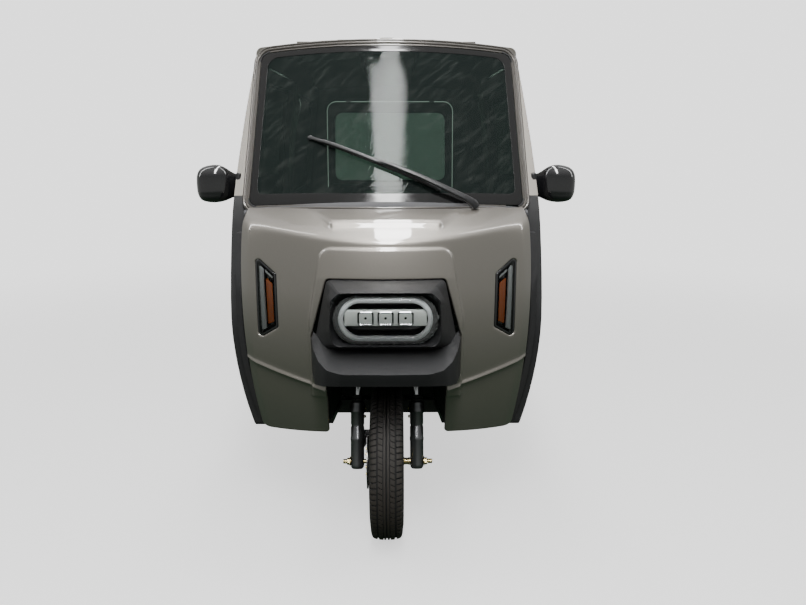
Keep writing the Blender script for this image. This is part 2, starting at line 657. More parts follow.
def on_screen(x, up, lift=0.0):
    """Place on the windscreen's outer face: across, up the glass, and lift off it."""
    x = np.asarray(x, float)
    w = np.sqrt(1.8 ** 2 - x * x) - 1.8 + lift
    return (np.stack([x, 0 * x, 0 * x], -1) + SCREEN_ORIGIN + np.asarray(up)[..., None] * SCREEN_UP
            + w[..., None] * SCREEN_OUT)

def height_field(rule, eps=0.0006):
    """Turns y = rule(x, z) into a skin surface whose normals point forwards."""
    def surface(x, z):
        y = rule(x, z)
        gx = (rule(x + eps, z) - rule(x - eps, z)) / (2 * eps)
        gz = (rule(x, z + eps) - rule(x, z - eps)) / (2 * eps)
        n = np.stack([gx, -np.ones_like(gx), gz], 1)
        return np.stack([x, y, z], 1), n / np.linalg.norm(n, axis=1)[:, None]
    return surface

# %% [markdown]
# ## Fascia
# The front is one moulding: a curved face with a raised centre, a bonnet that folds
# over a rounded crease, and skirts set back under a slanted step. It is written as
# one rule y(x, z), because then every crease can have its own softness.

# %% Fascia rule
DOME = rounded([(-252, 520, 0), (252, 520, 0), (251, 800, 200), (208, 1036, 40), (-208, 1036, 40),
    (-251, 800, 200)])

def fascia_face(x, z, dome=True):
    r = 0.940 - (1.8 - np.sqrt(1.8 ** 2 - (z - 0.9) ** 2))
    y = -0.175 - np.sqrt(np.maximum(r * r - x * x, 0.01))
    past = np.abs(x) - (fascia_edge(z) - 0.032)
    y = y + 0.42 * (past + np.sqrt(past ** 2 + 0.002 ** 2)) / 2
    if dome:
        sd = signed_distance(np.stack([x, z], 1), [DOME])
        y = y - (0.006 + 0.013 * np.clip((1.036 - z) / 0.095, 0, 1)) * ease((0.004 - sd) / 0.007)
    line = 0.553 + (np.abs(x) - 0.205) * 0.275
    y = y + 0.011 * ease((line - z) / 0.004)
    above = (z - line) / 0.008
    return y - 0.006 * np.exp(-above ** 2)

def bonnet_face(x, z):
    base = -0.930 + 0.9135 * (1.8 - np.sqrt(1.8 ** 2 - x * x))
    slope = 0.094 / (1.1102 + base)
    plane = base - (1.154 - z) / slope
    plateau = base - (1.154 - z) / (slope * 0.70)
    drop = -1.040 + 1.16 * np.maximum(np.abs(x) - 0.178, 0) - 0.30 * (1.112 - z)
    block = soft_max(plateau, drop, 0.004)
    return soft_min(plane, block, 0.002)

def front_rule(x, z):
    k = 0.013 + 0.05 * (np.abs(x) / 0.49) ** 6
    return soft_max(fascia_face(x, z), bonnet_face(x, z), k)

# %% Fascia panel
left_edge = [(-float(fascia_edge(z)), z) for z in np.linspace(1.115, 0.372, 60)]
corner = rounded([(-470, 400, 0), (-461, 346, 22), (-380, 356, 0)])[1:-1]
half = ([(-0.474, 1.150), (-0.478, 1.135)] + left_edge[1:] + corner
        + rounded([(-380, 356, 0), (-202, 370, 16), (-202, 560, 0)])[1:]
        + [(-0.2025, 0.585), (-0.2465, 0.607), (-0.2465, 0.748), (-0.2415, 0.764)]
        + rounded([(-241, 766, 0), (-191, 941, 16), (0, 943, 0)])[1:-1])
outline = half + [(-x, z) for x, z in reversed(half)]
LAMP = [(362, 762, 10), (438, 712, 14), (436, 1003, 14), (362, 944, 10)]
lamp_loop = rounded(LAMP)
step_rows = guide_rows([(0.200, 0.5516), (0.495, 0.6328)],
    (-0.018, -0.011, -0.006, -0.003, 0, 0.003, 0.007, 0.012, 0.018))
dome_rows = guide_rows(DOME, (-0.010, -0.005, -0.002, 0.001, 0.004, 0.009))
guides = [clear_of(dome_rows, step_rows, 0.003), step_rows, step_rows * (-1, 1)]
skin("front_panel", [outline, lamp_loop, [(-x, z) for x, z in reversed(lamp_loop)]],
    height_field(front_rule), 0.010, PAINT, "cabin", roll=0.0045, step=0.0085, angle=60,
    guides=guides, replaces=("front_fascia",), node_slot="body_paint")

# %% Loft and lathe helpers
def even_loop(loop, count, start=None):
    """The same closed outline with evenly spaced points, first one nearest to start."""
    pts = np.asarray(loop, float)
    nxt = np.roll(pts, -1, axis=0)
    run = np.concatenate([[0], np.cumsum(np.linalg.norm(nxt - pts, axis=1))])
    ring = np.vstack([pts, pts[:1]])
    at = np.linspace(0, run[-1], count, endpoint=False)
    out = np.stack([np.interp(at, run, ring[:, k]) for k in range(pts.shape[1])], 1)
    if start is not None:
        first = int(np.argmin(np.linalg.norm(out - np.asarray(start), axis=1)))
        out = np.roll(out, -first, axis=0)
    return out

def loft_mesh(name, rings, closed=True, cap=(False, False)):
    """Quads between rings of equal length; caps close the first and last ring."""
    rings = [np.asarray(r, float) for r in rings]
    m = len(rings[0])
    faces = []
    for k in range(len(rings) - 1):
        for i in range(m if closed else m - 1):
            j = (i + 1) % m
            faces.append((k * m + i, k * m + j, (k + 1) * m + j, (k + 1) * m + i))
    if cap[0]:
        faces.append(tuple(range(m))[::-1])
    if cap[1]:
        faces.append(tuple((len(rings) - 1) * m + i for i in range(m)))
    mesh = bpy.data.meshes.new(name)
    mesh.from_pydata(np.vstack(rings).tolist(), [], faces)
    return mesh

def tidy_mesh(mesh, outward=None, dist=1e-6):
    """Joins doubles and turns faces outwards; an open shell is turned to face a direction."""
    bm = bmesh.new()
    bm.from_mesh(mesh)
    bmesh.ops.remove_doubles(bm, verts=bm.verts, dist=dist)
    bmesh.ops.recalc_face_normals(bm, faces=bm.faces)
    if outward is not None:
        total = sum((f.normal * f.calc_area() for f in bm.faces), Vector())
        if total.dot(Vector(outward)) < 0:
            bmesh.ops.reverse_faces(bm, faces=bm.faces)
    bm.to_mesh(mesh)
    bm.free()
    return mesh

def loft(name, rings, material, body, closed=True, cap=(False, False), angle=40, outward=None, **kw):
    mesh = tidy_mesh(loft_mesh(name, rings, closed, cap), outward)
    smooth_by_angle(mesh, angle)
    return new_object(name, mesh, material, body, **kw)

def lathe_rows(profile, turns=96, axis_place=(0, 0, 0)):
    """Rings of a profile (radius, x) turned about the X axis through a place."""
    c = np.asarray(axis_place)
    a = np.linspace(0, 2 * math.pi, turns, endpoint=False)
    return [np.stack([np.full(turns, x), r * np.cos(a), r * np.sin(a)], 1) + c for r, x in profile]

def join(name, objects):
    """One mesh out of several objects with the same body."""
    bm = bmesh.new()
    slots = []
    for obj in objects:
        part = obj.data.copy()
        shift = []
        for mat in obj.data.materials:
            if mat not in slots:
                slots.append(mat)
            shift.append(slots.index(mat))
        for poly in part.polygons:
            poly.material_index = shift[min(poly.material_index, len(shift) - 1)] if shift else 0
        part.transform(obj.matrix_world)
        bm.from_mesh(part)
        bpy.data.meshes.remove(part)
    mesh = bpy.data.meshes.new(name)
    bm.to_mesh(mesh)
    bm.free()
    for mat in slots:
        mesh.materials.append(mat)
    for obj in objects:
        bpy.data.objects.remove(obj)
    return mesh

def tube(name, points, radius, material, body, sides=16, ends=True, **kw):
    """A round bar along points; radius is one number or one for each point."""
    pts = [Vector(p) for p in points]
    radii = radius if isinstance(radius, (list, tuple)) else [radius] * len(pts)
    rings = []
    up = Vector((0.013, 0.02, 1)).normalized()
    for i, p in enumerate(pts):
        d = (pts[min(i + 1, len(pts) - 1)] - pts[max(i - 1, 0)]).normalized()
        ref = up if abs(d.dot(up)) < 0.95 else Vector((1, 0.01, 0)).normalized()
        u = d.cross(ref).normalized()
        v = d.cross(u).normalized()
        rings.append([tuple(p + (u * math.cos(t) + v * math.sin(t)) * radii[i])
                      for t in (2 * math.pi * k / sides for k in range(sides))])
    return loft(name, rings, material, body, cap=(ends, ends), angle=45, **kw)

def curve_points(route, radius=0.03, steps=6):
    """A polyline whose corners are turned into arcs."""
    pts = [Vector(p) for p in route]
    out = [pts[0]]
    for a, b, c in zip(pts, pts[1:], pts[2:]):
        cut = min(radius, (a - b).length * 0.45, (c - b).length * 0.45)
        p, q = b + (a - b).normalized() * cut, b + (c - b).normalized() * cut
        for k in range(steps + 1):
            t = k / steps
            out.append(p * (1 - t) ** 2 + b * 2 * t * (1 - t) + q * t ** 2)
    return out + [pts[-1]]

def box_mesh(name, lo, hi, bevel, material, body, turn=None, about=(0, 0, 0), segments=3, **kw):
    """A block with rounded edges, turned about a place if asked."""
    bm = bmesh.new()
    bmesh.ops.create_cube(bm, size=1)
    for v in bm.verts:
        v.co = Vector((lo[k] + (v.co[k] + 0.5) * (hi[k] - lo[k]) for k in range(3)))
    if bevel:
        bmesh.ops.bevel(bm, geom=bm.edges[:], offset=bevel, segments=segments, profile=0.5,
            affect="EDGES")
    if turn is not None:
        place = Matrix.Translation(about) @ turn.to_4x4() @ Matrix.Translation(-Vector(about))
        bm.transform(place)
    mesh = bpy.data.meshes.new(name)
    bm.to_mesh(mesh)
    bm.free()
    smooth_by_angle(mesh, 40)
    return new_object(name, mesh, material, body, **kw)

# %% [markdown]
# ## Nose cowl
# A matt housing stands out of the fascia: flat facets run from its foot to the rim
# of a dark recess, and a wide lip below it folds over a curved front crease.

# %% Nose visor
N = 160
foot = even_loop(rounded([(-240, 700, 14), (240, 700, 14), (189, 939, 17), (-189, 939, 17)]), N,
    (-0.24, 0.70))
mouth = even_loop(rounded([(-160, 752, 22), (160, 752, 22), (172, 800, 30), (168, 896, 16),
    (141, 920, 12),
                           (-141, 920, 12), (-168, 896, 16), (-172, 800, 30)]), N, (-0.16, 0.752))
LAMP_Z, LAMP_Y = 0.830, -1.222
def stadium(w, h, n=N, z=LAMP_Z, start=(-0.16, 0.752)):
    a = np.linspace(0, 2 * math.pi, 240, endpoint=False)
    loop = [((w - h) / 2 * np.sign(math.cos(t)) + h / 2 * math.cos(t), z + h / 2 * math.sin(t))
        for t in a]
    return even_loop(loop, n, start)
def at_y(loop, y):
    loop = np.asarray(loop)
    return np.stack([loop[:, 0], np.broadcast_to(y, len(loop)), loop[:, 1]], 1)
def between(a, b, t):
    return a + (b - a) * t
foot_y = front_rule(foot[:, 0], foot[:, 1])
ring_lens = stadium(0.327, 0.156)
visor_rings = [at_y(foot * [0.985, 1], foot_y + 0.012), at_y(foot, foot_y - 0.003),
               at_y(between(foot, mouth, 0.03), between(foot_y - 0.004, -1.236, 0.07)),
               at_y(between(foot, mouth, 0.5), between(foot_y - 0.004, -1.236, 0.52)),
               at_y(between(foot, mouth, 0.96), between(foot_y - 0.004, -1.236, 0.985)),
               at_y(mouth, -1.2365), at_y(between(mouth, ring_lens, 0.10), -1.2355),
               at_y(between(mouth, ring_lens, 0.30), -1.226),
               at_y(between(mouth, ring_lens, 0.9), -1.194),
               at_y(ring_lens, -1.192), at_y(stadium(0.322, 0.151), -1.180)]
visor = loft("nose_visor", visor_rings, TRIM, "cabin", angle=16, outward=(0, -1, 0),
    replaces=("nose_cowl",), node_slot="matte_trim")

# %% Nose lip
def row(table, count=97):
    """A left-right symmetric row from (x, y, z) points given from the middle outwards."""
    t = np.asarray(table, float)
    run = np.concatenate([[0], np.cumsum(np.linalg.norm(np.diff(t, axis=0), axis=1))])
    s = np.linspace(0, run[-1], 400)
    fine = np.stack([np.interp(s, run, t[:, k]) for k in range(3)], 1)
    kernel = np.hanning(41); kernel /= kernel.sum()
    pad = np.vstack([fine[20:0:-1] * [-1, 1, 1], fine, 2 * fine[-1] - fine[-2:-22:-1]])
    fine = np.stack([np.convolve(pad[:, k], kernel, "valid") for k in range(3)], 1)
    half_row = fine[np.linspace(0, 399, count // 2 + 1).astype(int)]
    half_row[0, 0] = 0
    return np.vstack([half_row[:0:-1] * [-1, 1, 1], half_row])
lip_back = row([(0, -1.205, 0.722), (0.12, -1.204, 0.723), (0.175, -1.196, 0.729), (0.215, -1.165, 0.741),
    (0.238, -1.120, 0.752)])
lip_crease = row([(0, -1.299, 0.681), (0.135, -1.297, 0.682), (0.178, -1.280, 0.689),
    (0.208, -1.242, 0.707), (0.230, -1.185, 0.732), (0.2425, -1.118, 0.750)])
lip_low = row([(0, -1.288, 0.640), (0.150, -1.284, 0.640), (0.196, -1.262, 0.634), (0.222, -1.215, 0.624),
    (0.2425, -1.110, 0.614)])
lip_under = row([(0, -1.262, 0.632), (0.150, -1.258, 0.632), (0.190, -1.240, 0.627),
    (0.212, -1.200, 0.619), (0.230, -1.095, 0.608)])
lip_in = row([(0, -1.130, 0.645), (0.150, -1.130, 0.645), (0.190, -1.120, 0.640), (0.210, -1.110, 0.630),
    (0.226, -1.080, 0.615)])
lip_rings = [lip_back + [0, 0.03, 0.012], lip_back, between(lip_back, lip_crease, 0.5),
    between(lip_back, lip_crease, 0.965),
             between(lip_crease, between(lip_back, lip_low, 0.5), 0.012),
             between(lip_crease, lip_low, 0.09),
             between(lip_crease, lip_low, 0.6), between(lip_crease, lip_low, 0.93), lip_low,
             between(lip_low, lip_under, 0.25), lip_under, lip_in]
lip = loft("nose_lip", lip_rings, TRIM, "cabin", closed=False, angle=24, outward=(0, -1, 0.3),
    node_slot="matte_trim")
print("nose", len(visor.data.polygons) + len(lip.data.polygons), "faces")

# %% [markdown]
# ## Headlamp
# Behind a clear cover: a pill-shaped white light guide, a pale bar across it and
# three square lenses. A loose clear film is still wrapped round the cover.

# %% Headlamp
loft("lamp_bowl", [at_y(stadium(0.321, 0.150), -1.192), at_y(stadium(0.312, 0.141), -1.186),
    at_y(stadium(0.29, 0.12), -1.160),
            at_y(stadium(0.26, 0.09), -1.148)], GLOSS, "cabin", cap=(False, True), outward=(0, -1, 0),
            node_slot="headlamp")
guide = []
for w, h, y in [(0.262, 0.106, -1.198), (0.262, 0.106, -1.207), (0.266, 0.110, -1.2105), (0.278, 0.122, -1.2125), (0.290, 0.134, -1.2105),
                (0.294, 0.138, -1.207), (0.294, 0.138, -1.198)]:
    guide.append(at_y(stadium(w, h), y))
loft("light_guide", guide, LIGHT_BAR, "cabin", angle=50, outward=(0, -1, 0), node_slot="headlamp")
bar_parts = [box_mesh("lamp_bar", (-0.128, -1.204, 0.8085), (0.128, -1.185, 0.8600), 0.004, None, None)]
pale = plain("pale lamp bar", (0.78, 0.82, 0.78), (0.4, 0.4, 0.36), 0.22, None, 0.1, 0.6, Coat_Weight=0.6)
bar_parts[0].data.materials.append(pale)
for x in (-0.062, 0.0, 0.062):
    frame_ring = [at_y(even_loop(rounded([(x * 1000 - s, 834 - s * 0.86, r),
        (x * 1000 + s, 834 - s * 0.86, r), (x * 1000 + s, 834 + s * 0.86, r),
                  (x * 1000 - s, 834 + s * 0.86, r)]), 48), y) for s, r, y in
                  [(25, 6, -1.203), (25, 6, -1.2075), (23, 5, -1.2085), (20, 5, -1.207), (18, 4, -1.196),
                  (12, 3, -1.190)]]
    bar_parts.append(loft("lamp_module", frame_ring, CHROME, None, cap=(False, True), outward=(0, -1, 0),
        angle=30))
    eye = [at_y(even_loop([(x + r * math.cos(t), 0.834 + r * math.sin(t)) for t in np.linspace(0,
        2 * math.pi, 32, endpoint=False)], 32), y)
           for r, y in [(0.0125, -1.192), (0.0122, -1.197), (0.010, -1.2010), (0.006, -1.2035),
           (0.002, -1.2045)]]
    bar_parts.append(loft("lamp_eye", eye, FRIT, None, cap=(False, True), outward=(0, -1, 0)))
new_object("lamp_modules", join("lamp_modules", bar_parts), None, "cabin", "headlamp")
cover_rings = [at_y(stadium(0.321 * s, 0.150 * (1 - (1 - s) * 2.14)), -1.192 - d) for s, d in
               [(1.0, 0.0), (1.0, 0.014), (0.99, 0.0215), (0.97, 0.026), (0.93, 0.030), (0.85, 0.033),
               (0.72, 0.0345)]]
loft("lamp_cover", cover_rings, LENS, "cabin", cap=(False, True), outward=(0, -1, 0),
    replaces=("headlamp",), node_slot="headlamp")
film_rings = []
for k, (s, d) in enumerate([(1.012, 0.004), (1.022, 0.012), (1.018, 0.020), (1.0, 0.0265), (0.965, 0.0315), (0.93, 0.0335), (0.88, 0.0350)]):
    loop = stadium(0.321 * s, 0.150 * (1 - (1 - s) * 2.14), 220)
    mid = np.array([0, LAMP_Z])
    waves = sum(a * np.sin(np.arange(220) / 220 * 2 * math.pi * f + p) for a, f, p in
                [(0.0011, 23, 0.3 + k * 0.5), (0.0009, 41, 1.2 + k * 0.9), (0.0007, 67, 2.0 - k * 0.7)])
    right = ease((loop[:, 0] - 0.10) / 0.05) * 0.9 + 0.35
    grow = (loop - mid) / np.linalg.norm(loop - mid, axis=1)[:, None]
    film_rings.append(at_y(loop + grow * (waves * right)[:, None],
        -1.192 - d - np.abs(waves) * right * 0.8 - 0.001))
film = loft("lamp_film", film_rings, FILM, "cabin", outward=(0, -1, 0), angle=28, node_slot="headlamp")

# %% [markdown]
# ## Side lamps
# Each lamp sits in a slanted slot: a black bezel, a white bar on the outer side,
# an amber block beside it and a clear cover over both.

# %% Side lamps
def lamp_surface(depth):
    return height_field(lambda x, z: fascia_face(x, z, False) + depth)
def shrink(rows, d):
    """Rows of an outline table moved inwards by d millimetres, for a loop that runs anticlockwise."""
    n, out = len(rows), []
    for i, (bx, by, r) in enumerate(rows):
        a, b, c = Vector(rows[i - 1][:2]), Vector((bx, by)), Vector(rows[(i + 1) % n][:2])
        u, v = (a - b).normalized(), (c - b).normalized()
        mid = (u + v).normalized()
        half = math.acos(max(-1, min(1, u.dot(v)))) / 2
        turn = 1 if (b - a).cross(c - b) > 0 else -1
        p = b + mid * turn * d / math.sin(half)
        out.append((p.x, p.y, max(0.0, r - turn * d)))
    return out
for side, name in ((1, "right"), (-1, "left")):
    def loop_of(rows):
        pts = rounded(rows)
        return pts if side > 0 else [(-x, z) for x, z in reversed(pts)]
    skin(f"side_lamp_pocket_{name}", [loop_of(shrink(LAMP, -1.5))], lamp_surface(0.022), 0.002, GLOSS,
        "cabin", roll=0.002, step=0.012, node_slot="side_lamp")
    skin(f"side_lamp_bezel_{name}", [loop_of(shrink(LAMP, 0.8)), loop_of(shrink(LAMP, 8.5))],
        lamp_surface(0.003), 0.018, GLOSS,
                 "cabin", roll=0.002, step=0.005, node_slot="side_lamp",
                 replaces=("side_lamps",) if side > 0 else ())
    skin(f"side_lamp_guide_{name}", [loop_of([(405, 752, 3), (424, 741, 4), (423, 972, 4),
        (408, 955, 3)])], lamp_surface(0.006), 0.012,
                 LIGHT_BAR, "cabin", roll=0.004, step=0.006, node_slot="side_lamp")
    skin(f"side_lamp_amber_{name}", [loop_of([(377, 778, 3), (400, 766, 4), (401, 930, 4),
        (377, 908, 3)])], lamp_surface(0.010), 0.010,
                 AMBER, "cabin", roll=0.003, step=0.006, node_slot="side_lamp")
    top = skin(f"side_lamp_top_{name}", [loop_of([(373, 922, 2), (402, 944, 3), (405, 962, 3),
        (373, 938, 2)])], lamp_surface(0.010), 0.006,
               CHROME, "cabin", roll=0.002, step=0.006, node_slot="side_lamp")
    skin(f"side_lamp_cover_{name}", [loop_of(shrink(LAMP, 6.5))], lamp_surface(0.002), 0.0015, LENS,
        "cabin", roll=0.003, step=0.010, node_slot="side_lamp")

# %% [markdown]
# ## Windscreen border
# The glass is bonded in, so its edge is printed black. Outside it runs a fluted
# strip: painted ridges with dark grooves, from the bonnet up one pillar, over the
# top and down the other.

# %% Windscreen border and strip
def screen_rows(e, ends=(22, 0)):
    return [(-476 - e, 22 - e, 28 + e), (0, -e, 3000), (476 + e, 22 - e, 28 + e),
        (450 + e, 596 + e, 34 + e), (-450 - e, 596 + e, 34 + e)]
def screen_surface(lift):
    def surface(x, up):
        n = np.stack([x / 1.8, 0 * x, 0 * x], 1) + np.sqrt(1 - (x / 1.8) ** 2)[:, None] * SCREEN_OUT
        return on_screen(x, up, lift), n
    return surface
border_in = rounded([(-449, 62, 24), (0, 40, 3000), (449, 62, 24), (424, 574, 40), (-424, 574, 40)])
skin("screen_border", [rounded(screen_rows(-1.5)), border_in], screen_surface(0.0012), 0.0012, FRIT,
    "cabin", roll=0.0006, step=0.014,
            replaces=("screen_seal",), node_slot="seal")

edge = np.array(rounded(screen_rows(0)))
low = int(np.argmin(edge[:, 1] + 0.4 * edge[:, 0] ** 2))
path = np.roll(edge, -low, axis=0)
path = np.array(resample([tuple(p) for p in path], 0.012))
tangent = np.roll(path, -1, axis=0) - np.roll(path, 1, axis=0)
out2d = np.stack([tangent[:, 1], -tangent[:, 0]], 1) / np.linalg.norm(tangent, axis=1)[:, None]
keep = path[:, 1] > -0.004 + 0.026 * (np.abs(path[:, 0]) > 0.44)
first = int(np.argmax(keep & ~np.roll(keep, 1)))
order = [i % len(path) for i in range(first, first + int(keep.sum()))]
path, out2d = path[order], out2d[order]
profile = [(0.0, -0.004), (0.0, 0.0015), (0.8, 0.0028), (3.0, 0.0030), (5.2, 0.0028), (5.8, 0.0008),
    (7.0, 0.0004), (7.8, 0.0022), (9.0, 0.0046), (12.0, 0.0056),
           (15.0, 0.0046), (16.0, 0.0024), (17.2, 0.0022), (18.4, 0.0042), (21.0, 0.0056), (24.0, 0.0044),
           (26.0, 0.001), (26.8, -0.004), (26.8, -0.010)]
strip_rings = []
for e, h in profile:
    p = path + out2d * e / 1000
    strip_rings.append(on_screen(p[:, 0], p[:, 1], h))
strip = loft("screen_strip", strip_rings, STRIP, "cabin", closed=False, angle=35, outward=(0, -1, 0.3),
    replaces=("screen_surround",), node_slot="body_paint")
strip.data.materials.append(RUBBER)
for poly in strip.data.polygons:
    e = min(np.linalg.norm(np.array(poly.center) - on_screen(path[:, 0], path[:, 1], 0.002), axis=1))
    poly.material_index = 1 if e < 0.0056 else 0
base_x = np.linspace(-0.474, 0.474, 121)
base_up = 0.004 + 0.020 * (np.abs(base_x) / 0.476) ** 2
cowl_rows = []
for du, lift in [(0.010, 0.0015), (0.004, 0.0030), (-0.004, 0.0040), (-0.010, 0.0030), (-0.012, -0.004), (-0.012, -0.020)]:
    cowl_rows.append(on_screen(base_x, base_up + du - 0.018 * (np.abs(base_x) / 0.476) ** 2, lift))
loft("screen_base_strip", cowl_rows, CABIN, "cabin", closed=False, angle=40, outward=(0, -1, 0.3),
    node_slot="seal")

# %% [markdown]
# ## Repeats
# Tread blocks, bolts and holes repeat round an axis, so a node group does it: the
# modelled unit is copied a set number of times about the X axis and made real.

# %% Repeat groups
def ring_of_copies():
    """Copies its own mesh around the X axis."""
    tree = bpy.data.node_groups.new("ring of copies", "GeometryNodeTree")
    tree.interface.new_socket("Unit", in_out="INPUT", socket_type="NodeSocketGeometry")
    count = tree.interface.new_socket("Count", in_out="INPUT", socket_type="NodeSocketInt")
    finish = tree.interface.new_socket("Finish", in_out="INPUT", socket_type="NodeSocketMaterial")
    tree.interface.new_socket("Ring", in_out="OUTPUT", socket_type="NodeSocketGeometry")
    n, l = tree.nodes, tree.links
    gi, go = n.new("NodeGroupInput"), n.new("NodeGroupOutput")
    points = n.new("GeometryNodeMeshLine")
    points.inputs["Offset"].default_value = (0, 0, 0)
    index = n.new("GeometryNodeInputIndex")
    part = n.new("ShaderNodeMath")
    part.operation = "DIVIDE"
    turn = n.new("ShaderNodeMath")
    turn.operation = "MULTIPLY"
    turn.inputs[1].default_value = 2 * math.pi
    spin = n.new("ShaderNodeCombineXYZ")
    copies = n.new("GeometryNodeInstanceOnPoints")
    real = n.new("GeometryNodeRealizeInstances")
    paint = n.new("GeometryNodeSetMaterial")
    l.new(gi.outputs["Count"], points.inputs["Count"])
    l.new(points.outputs[0], copies.inputs["Points"])
    l.new(gi.outputs["Unit"], copies.inputs["Instance"])
    l.new(index.outputs[0], part.inputs[0])
    l.new(gi.outputs["Count"], part.inputs[1])
    l.new(part.outputs[0], turn.inputs[0])
    l.new(turn.outputs[0], spin.inputs["X"])
    l.new(spin.outputs[0], copies.inputs["Rotation"])
    l.new(copies.outputs[0], real.inputs[0])
    l.new(real.outputs[0], paint.inputs[0])
    l.new(gi.outputs["Finish"], paint.inputs["Material"])
    l.new(paint.outputs[0], go.inputs[0])
    return tree, count.identifier, finish.identifier

RING, RING_COUNT, RING_FINISH = ring_of_copies()

def repeat_round(unit, count, finish, angle=35):
    """Applies the ring group to a unit mesh and gives the object with its real mesh."""
    obj = new_object(unit.name, unit, None, None)
    mod = obj.modifiers.new("ring", "NODES")
    mod.node_group = RING
    mod[RING_COUNT], mod[RING_FINISH] = count, finish
    apply_modifiers(obj)
    obj.data.materials.clear()
    obj.data.materials.append(finish)
    obj.data.polygons.foreach_set("material_index", [0] * len(obj.data.polygons))
    smooth_by_angle(obj.data, angle)
    return obj

def bolt_mesh(name, place, axis, r, h, sides=6):
    """A bolt head with a chamfer on a thin washer, standing on a place along an axis."""
    q = Vector(axis).to_track_quat("Z", "Y").to_matrix().to_4x4()
    rows = [(1.35, 0), (1.35, 0.16), (1.0, 0.17), (1.0, 0.85), (0.82, 1.0)]
    rings = []
    for k, (f, up) in enumerate(rows):
        n = sides * 4
        ring = []
        for i in range(n):
            t = 2 * math.pi * i / n
            hexagon = 1 if k < 2 else math.cos(math.pi / sides) / math.cos((t % (2 * math.pi / sides))
                - math.pi / sides)
            ring.append(tuple(Vector(place) + q.to_3x3() @ Vector((r * f * hexagon * math.cos(t),
                r * f * hexagon * math.sin(t), h * up))))
        rings.append(ring)
    return tidy_mesh(loft_mesh(name, rings, True, (True, True)))

# %% [markdown]
# ## Tyres
# A road tyre is a smooth carcass with separate rubber blocks on it. Two thin ribs
# run round the middle, then slanted blocks, a deep groove and the shoulder blocks.

# %% Tyres
TYRE_R, RIM_R, TREAD = 0.265, 0.152, 0.0055
crown = [(0.000, 0.265), (0.016, 0.2647), (0.030, 0.2632), (0.042, 0.2603), (0.0475, 0.2570),
    (0.0515, 0.2505), (0.0538, 0.2420)]
def tread_r(x):
    x = np.abs(np.asarray(x, float))
    return np.interp(x, [p[0] for p in crown], [p[1] for p in crown])
def carcass():
    half_row = [(0.0, 0.2595), (0.0020, 0.2595), (0.0028, 0.2648), (0.0090, 0.2649), (0.0098, 0.2595),
        (0.0300, 0.2578), (0.0420, 0.2550),
                (0.0470, 0.2515), (0.0505, 0.2460), (0.0530, 0.2390), (0.0545, 0.2320), (0.0558, 0.2250),
                (0.0560, 0.2180), (0.0569, 0.2172),
                (0.0569, 0.2150), (0.0560, 0.2140), (0.0558, 0.2050), (0.0552, 0.1950), (0.0560, 0.1938),
                (0.0560, 0.1915), (0.0549, 0.1900),
                (0.0535, 0.1830), (0.0500, 0.1740), (0.0510, 0.1700), (0.0470, 0.1630), (0.0425, 0.1565),
                (0.0400, 0.1530), (0.0300, 0.1532)]
    rows = [(r, x) for x, r in half_row]
    return [(r, -x) for r, x in reversed(rows)] + rows[1:]
def block(name, xs, t0, t1, slant=0.0, nt=3):
    """One tread block: xs across the tread, t0 and t1 as shares of a pitch."""
    xs = np.array([xs[0]] + list(xs) + [xs[-1]])
    ts = np.array([t0] + list(np.linspace(t0, t1, nt)) + [t1])
    m, n = len(xs), len(ts)
    rings = []
    for i, x in enumerate(xs):
        ring = []
        for j, t in enumerate(ts):
            wall = i in (0, m - 1) or j in (0, n - 1)
            edge = i in (1, m - 2) or j in (1, n - 2)
            r = float(tread_r(x)) + (-0.0068 if wall else -0.0005 if edge else 0.0)
            a = (t + slant * (abs(x) - 0.0195) / 0.015) * 2 * math.pi / PITCHES
            ring.append((x, r * math.cos(a), r * math.sin(a)))
        rings.append(ring)
    mesh = loft_mesh(name, rings, False)
    bm = bmesh.new()
    bm.from_mesh(mesh)
    bmesh.ops.remove_doubles(bm, verts=bm.verts, dist=1e-6)
    bmesh.ops.holes_fill(bm, edges=[e for e in bm.edges if e.is_boundary])
    bmesh.ops.recalc_face_normals(bm, faces=bm.faces)
    bm.to_mesh(mesh)
    bm.free()
    return mesh
PITCHES = 84
def tread_unit():
    parts = []
    for s in (1, -1):
        off = 0.0 if s > 0 else 0.5
        parts.append(block("inner", [s * x for x in (0.0122, 0.0150, 0.0240, 0.0268)], 0.05 + off,
            0.90 + off, 0.34 * s))
        parts.append(block("shoulder", [s * x for x in (0.0328, 0.0355, 0.0420, 0.0475, 0.0515, 0.0538)],
            0.10 + off, 0.86 + off, -0.10 * s))
    bm = bmesh.new()
    for part in parts:
        bm.from_mesh(part)
        bpy.data.meshes.remove(part)
    unit = bpy.data.meshes.new("tread_unit")
    bm.to_mesh(unit)
    bm.free()
    return unit
def tyre(node, place):
    body = new_object("carcass", tidy_mesh(loft_mesh("carcass", lathe_rows(carcass(), 168))), TYRE, None)
    inner = [(0.1532, -0.030), (0.160, -0.028), (0.160, 0.028), (0.1532, 0.030)]
    lining = new_object("lining", tidy_mesh(loft_mesh("lining", lathe_rows(inner, 96))), TYRE, None)
    smooth_by_angle(body.data, 32)
    tread = repeat_round(tread_unit(), PITCHES, TYRE, 30)
    tread.data.materials.append(GROOVE)
    body.data.materials.append(GROOVE)
    for poly in tread.data.polygons:
        out = Vector((0, poly.center.y, poly.center.z)).normalized()
        poly.material_index = 1 if poly.normal.dot(out) < 0.35 and abs(poly.normal.x) < 0.97 else 0
    for poly in body.data.polygons:
        r = math.hypot(poly.center.y, poly.center.z)
        if r < float(tread_r(poly.center.x)) - 0.0025 and abs(poly.center.x) < 0.052 and r > 0.24:
            poly.material_index = 1
    mesh = join(node + "_dressed", [body, lining, tread])
    mesh.transform(Matrix.Translation(place))
    obj = new_object(node + "_dressed", mesh, None, body_of(node), slot_of(node), (node,))
    print(node, len(mesh.polygons), "faces")
    return obj
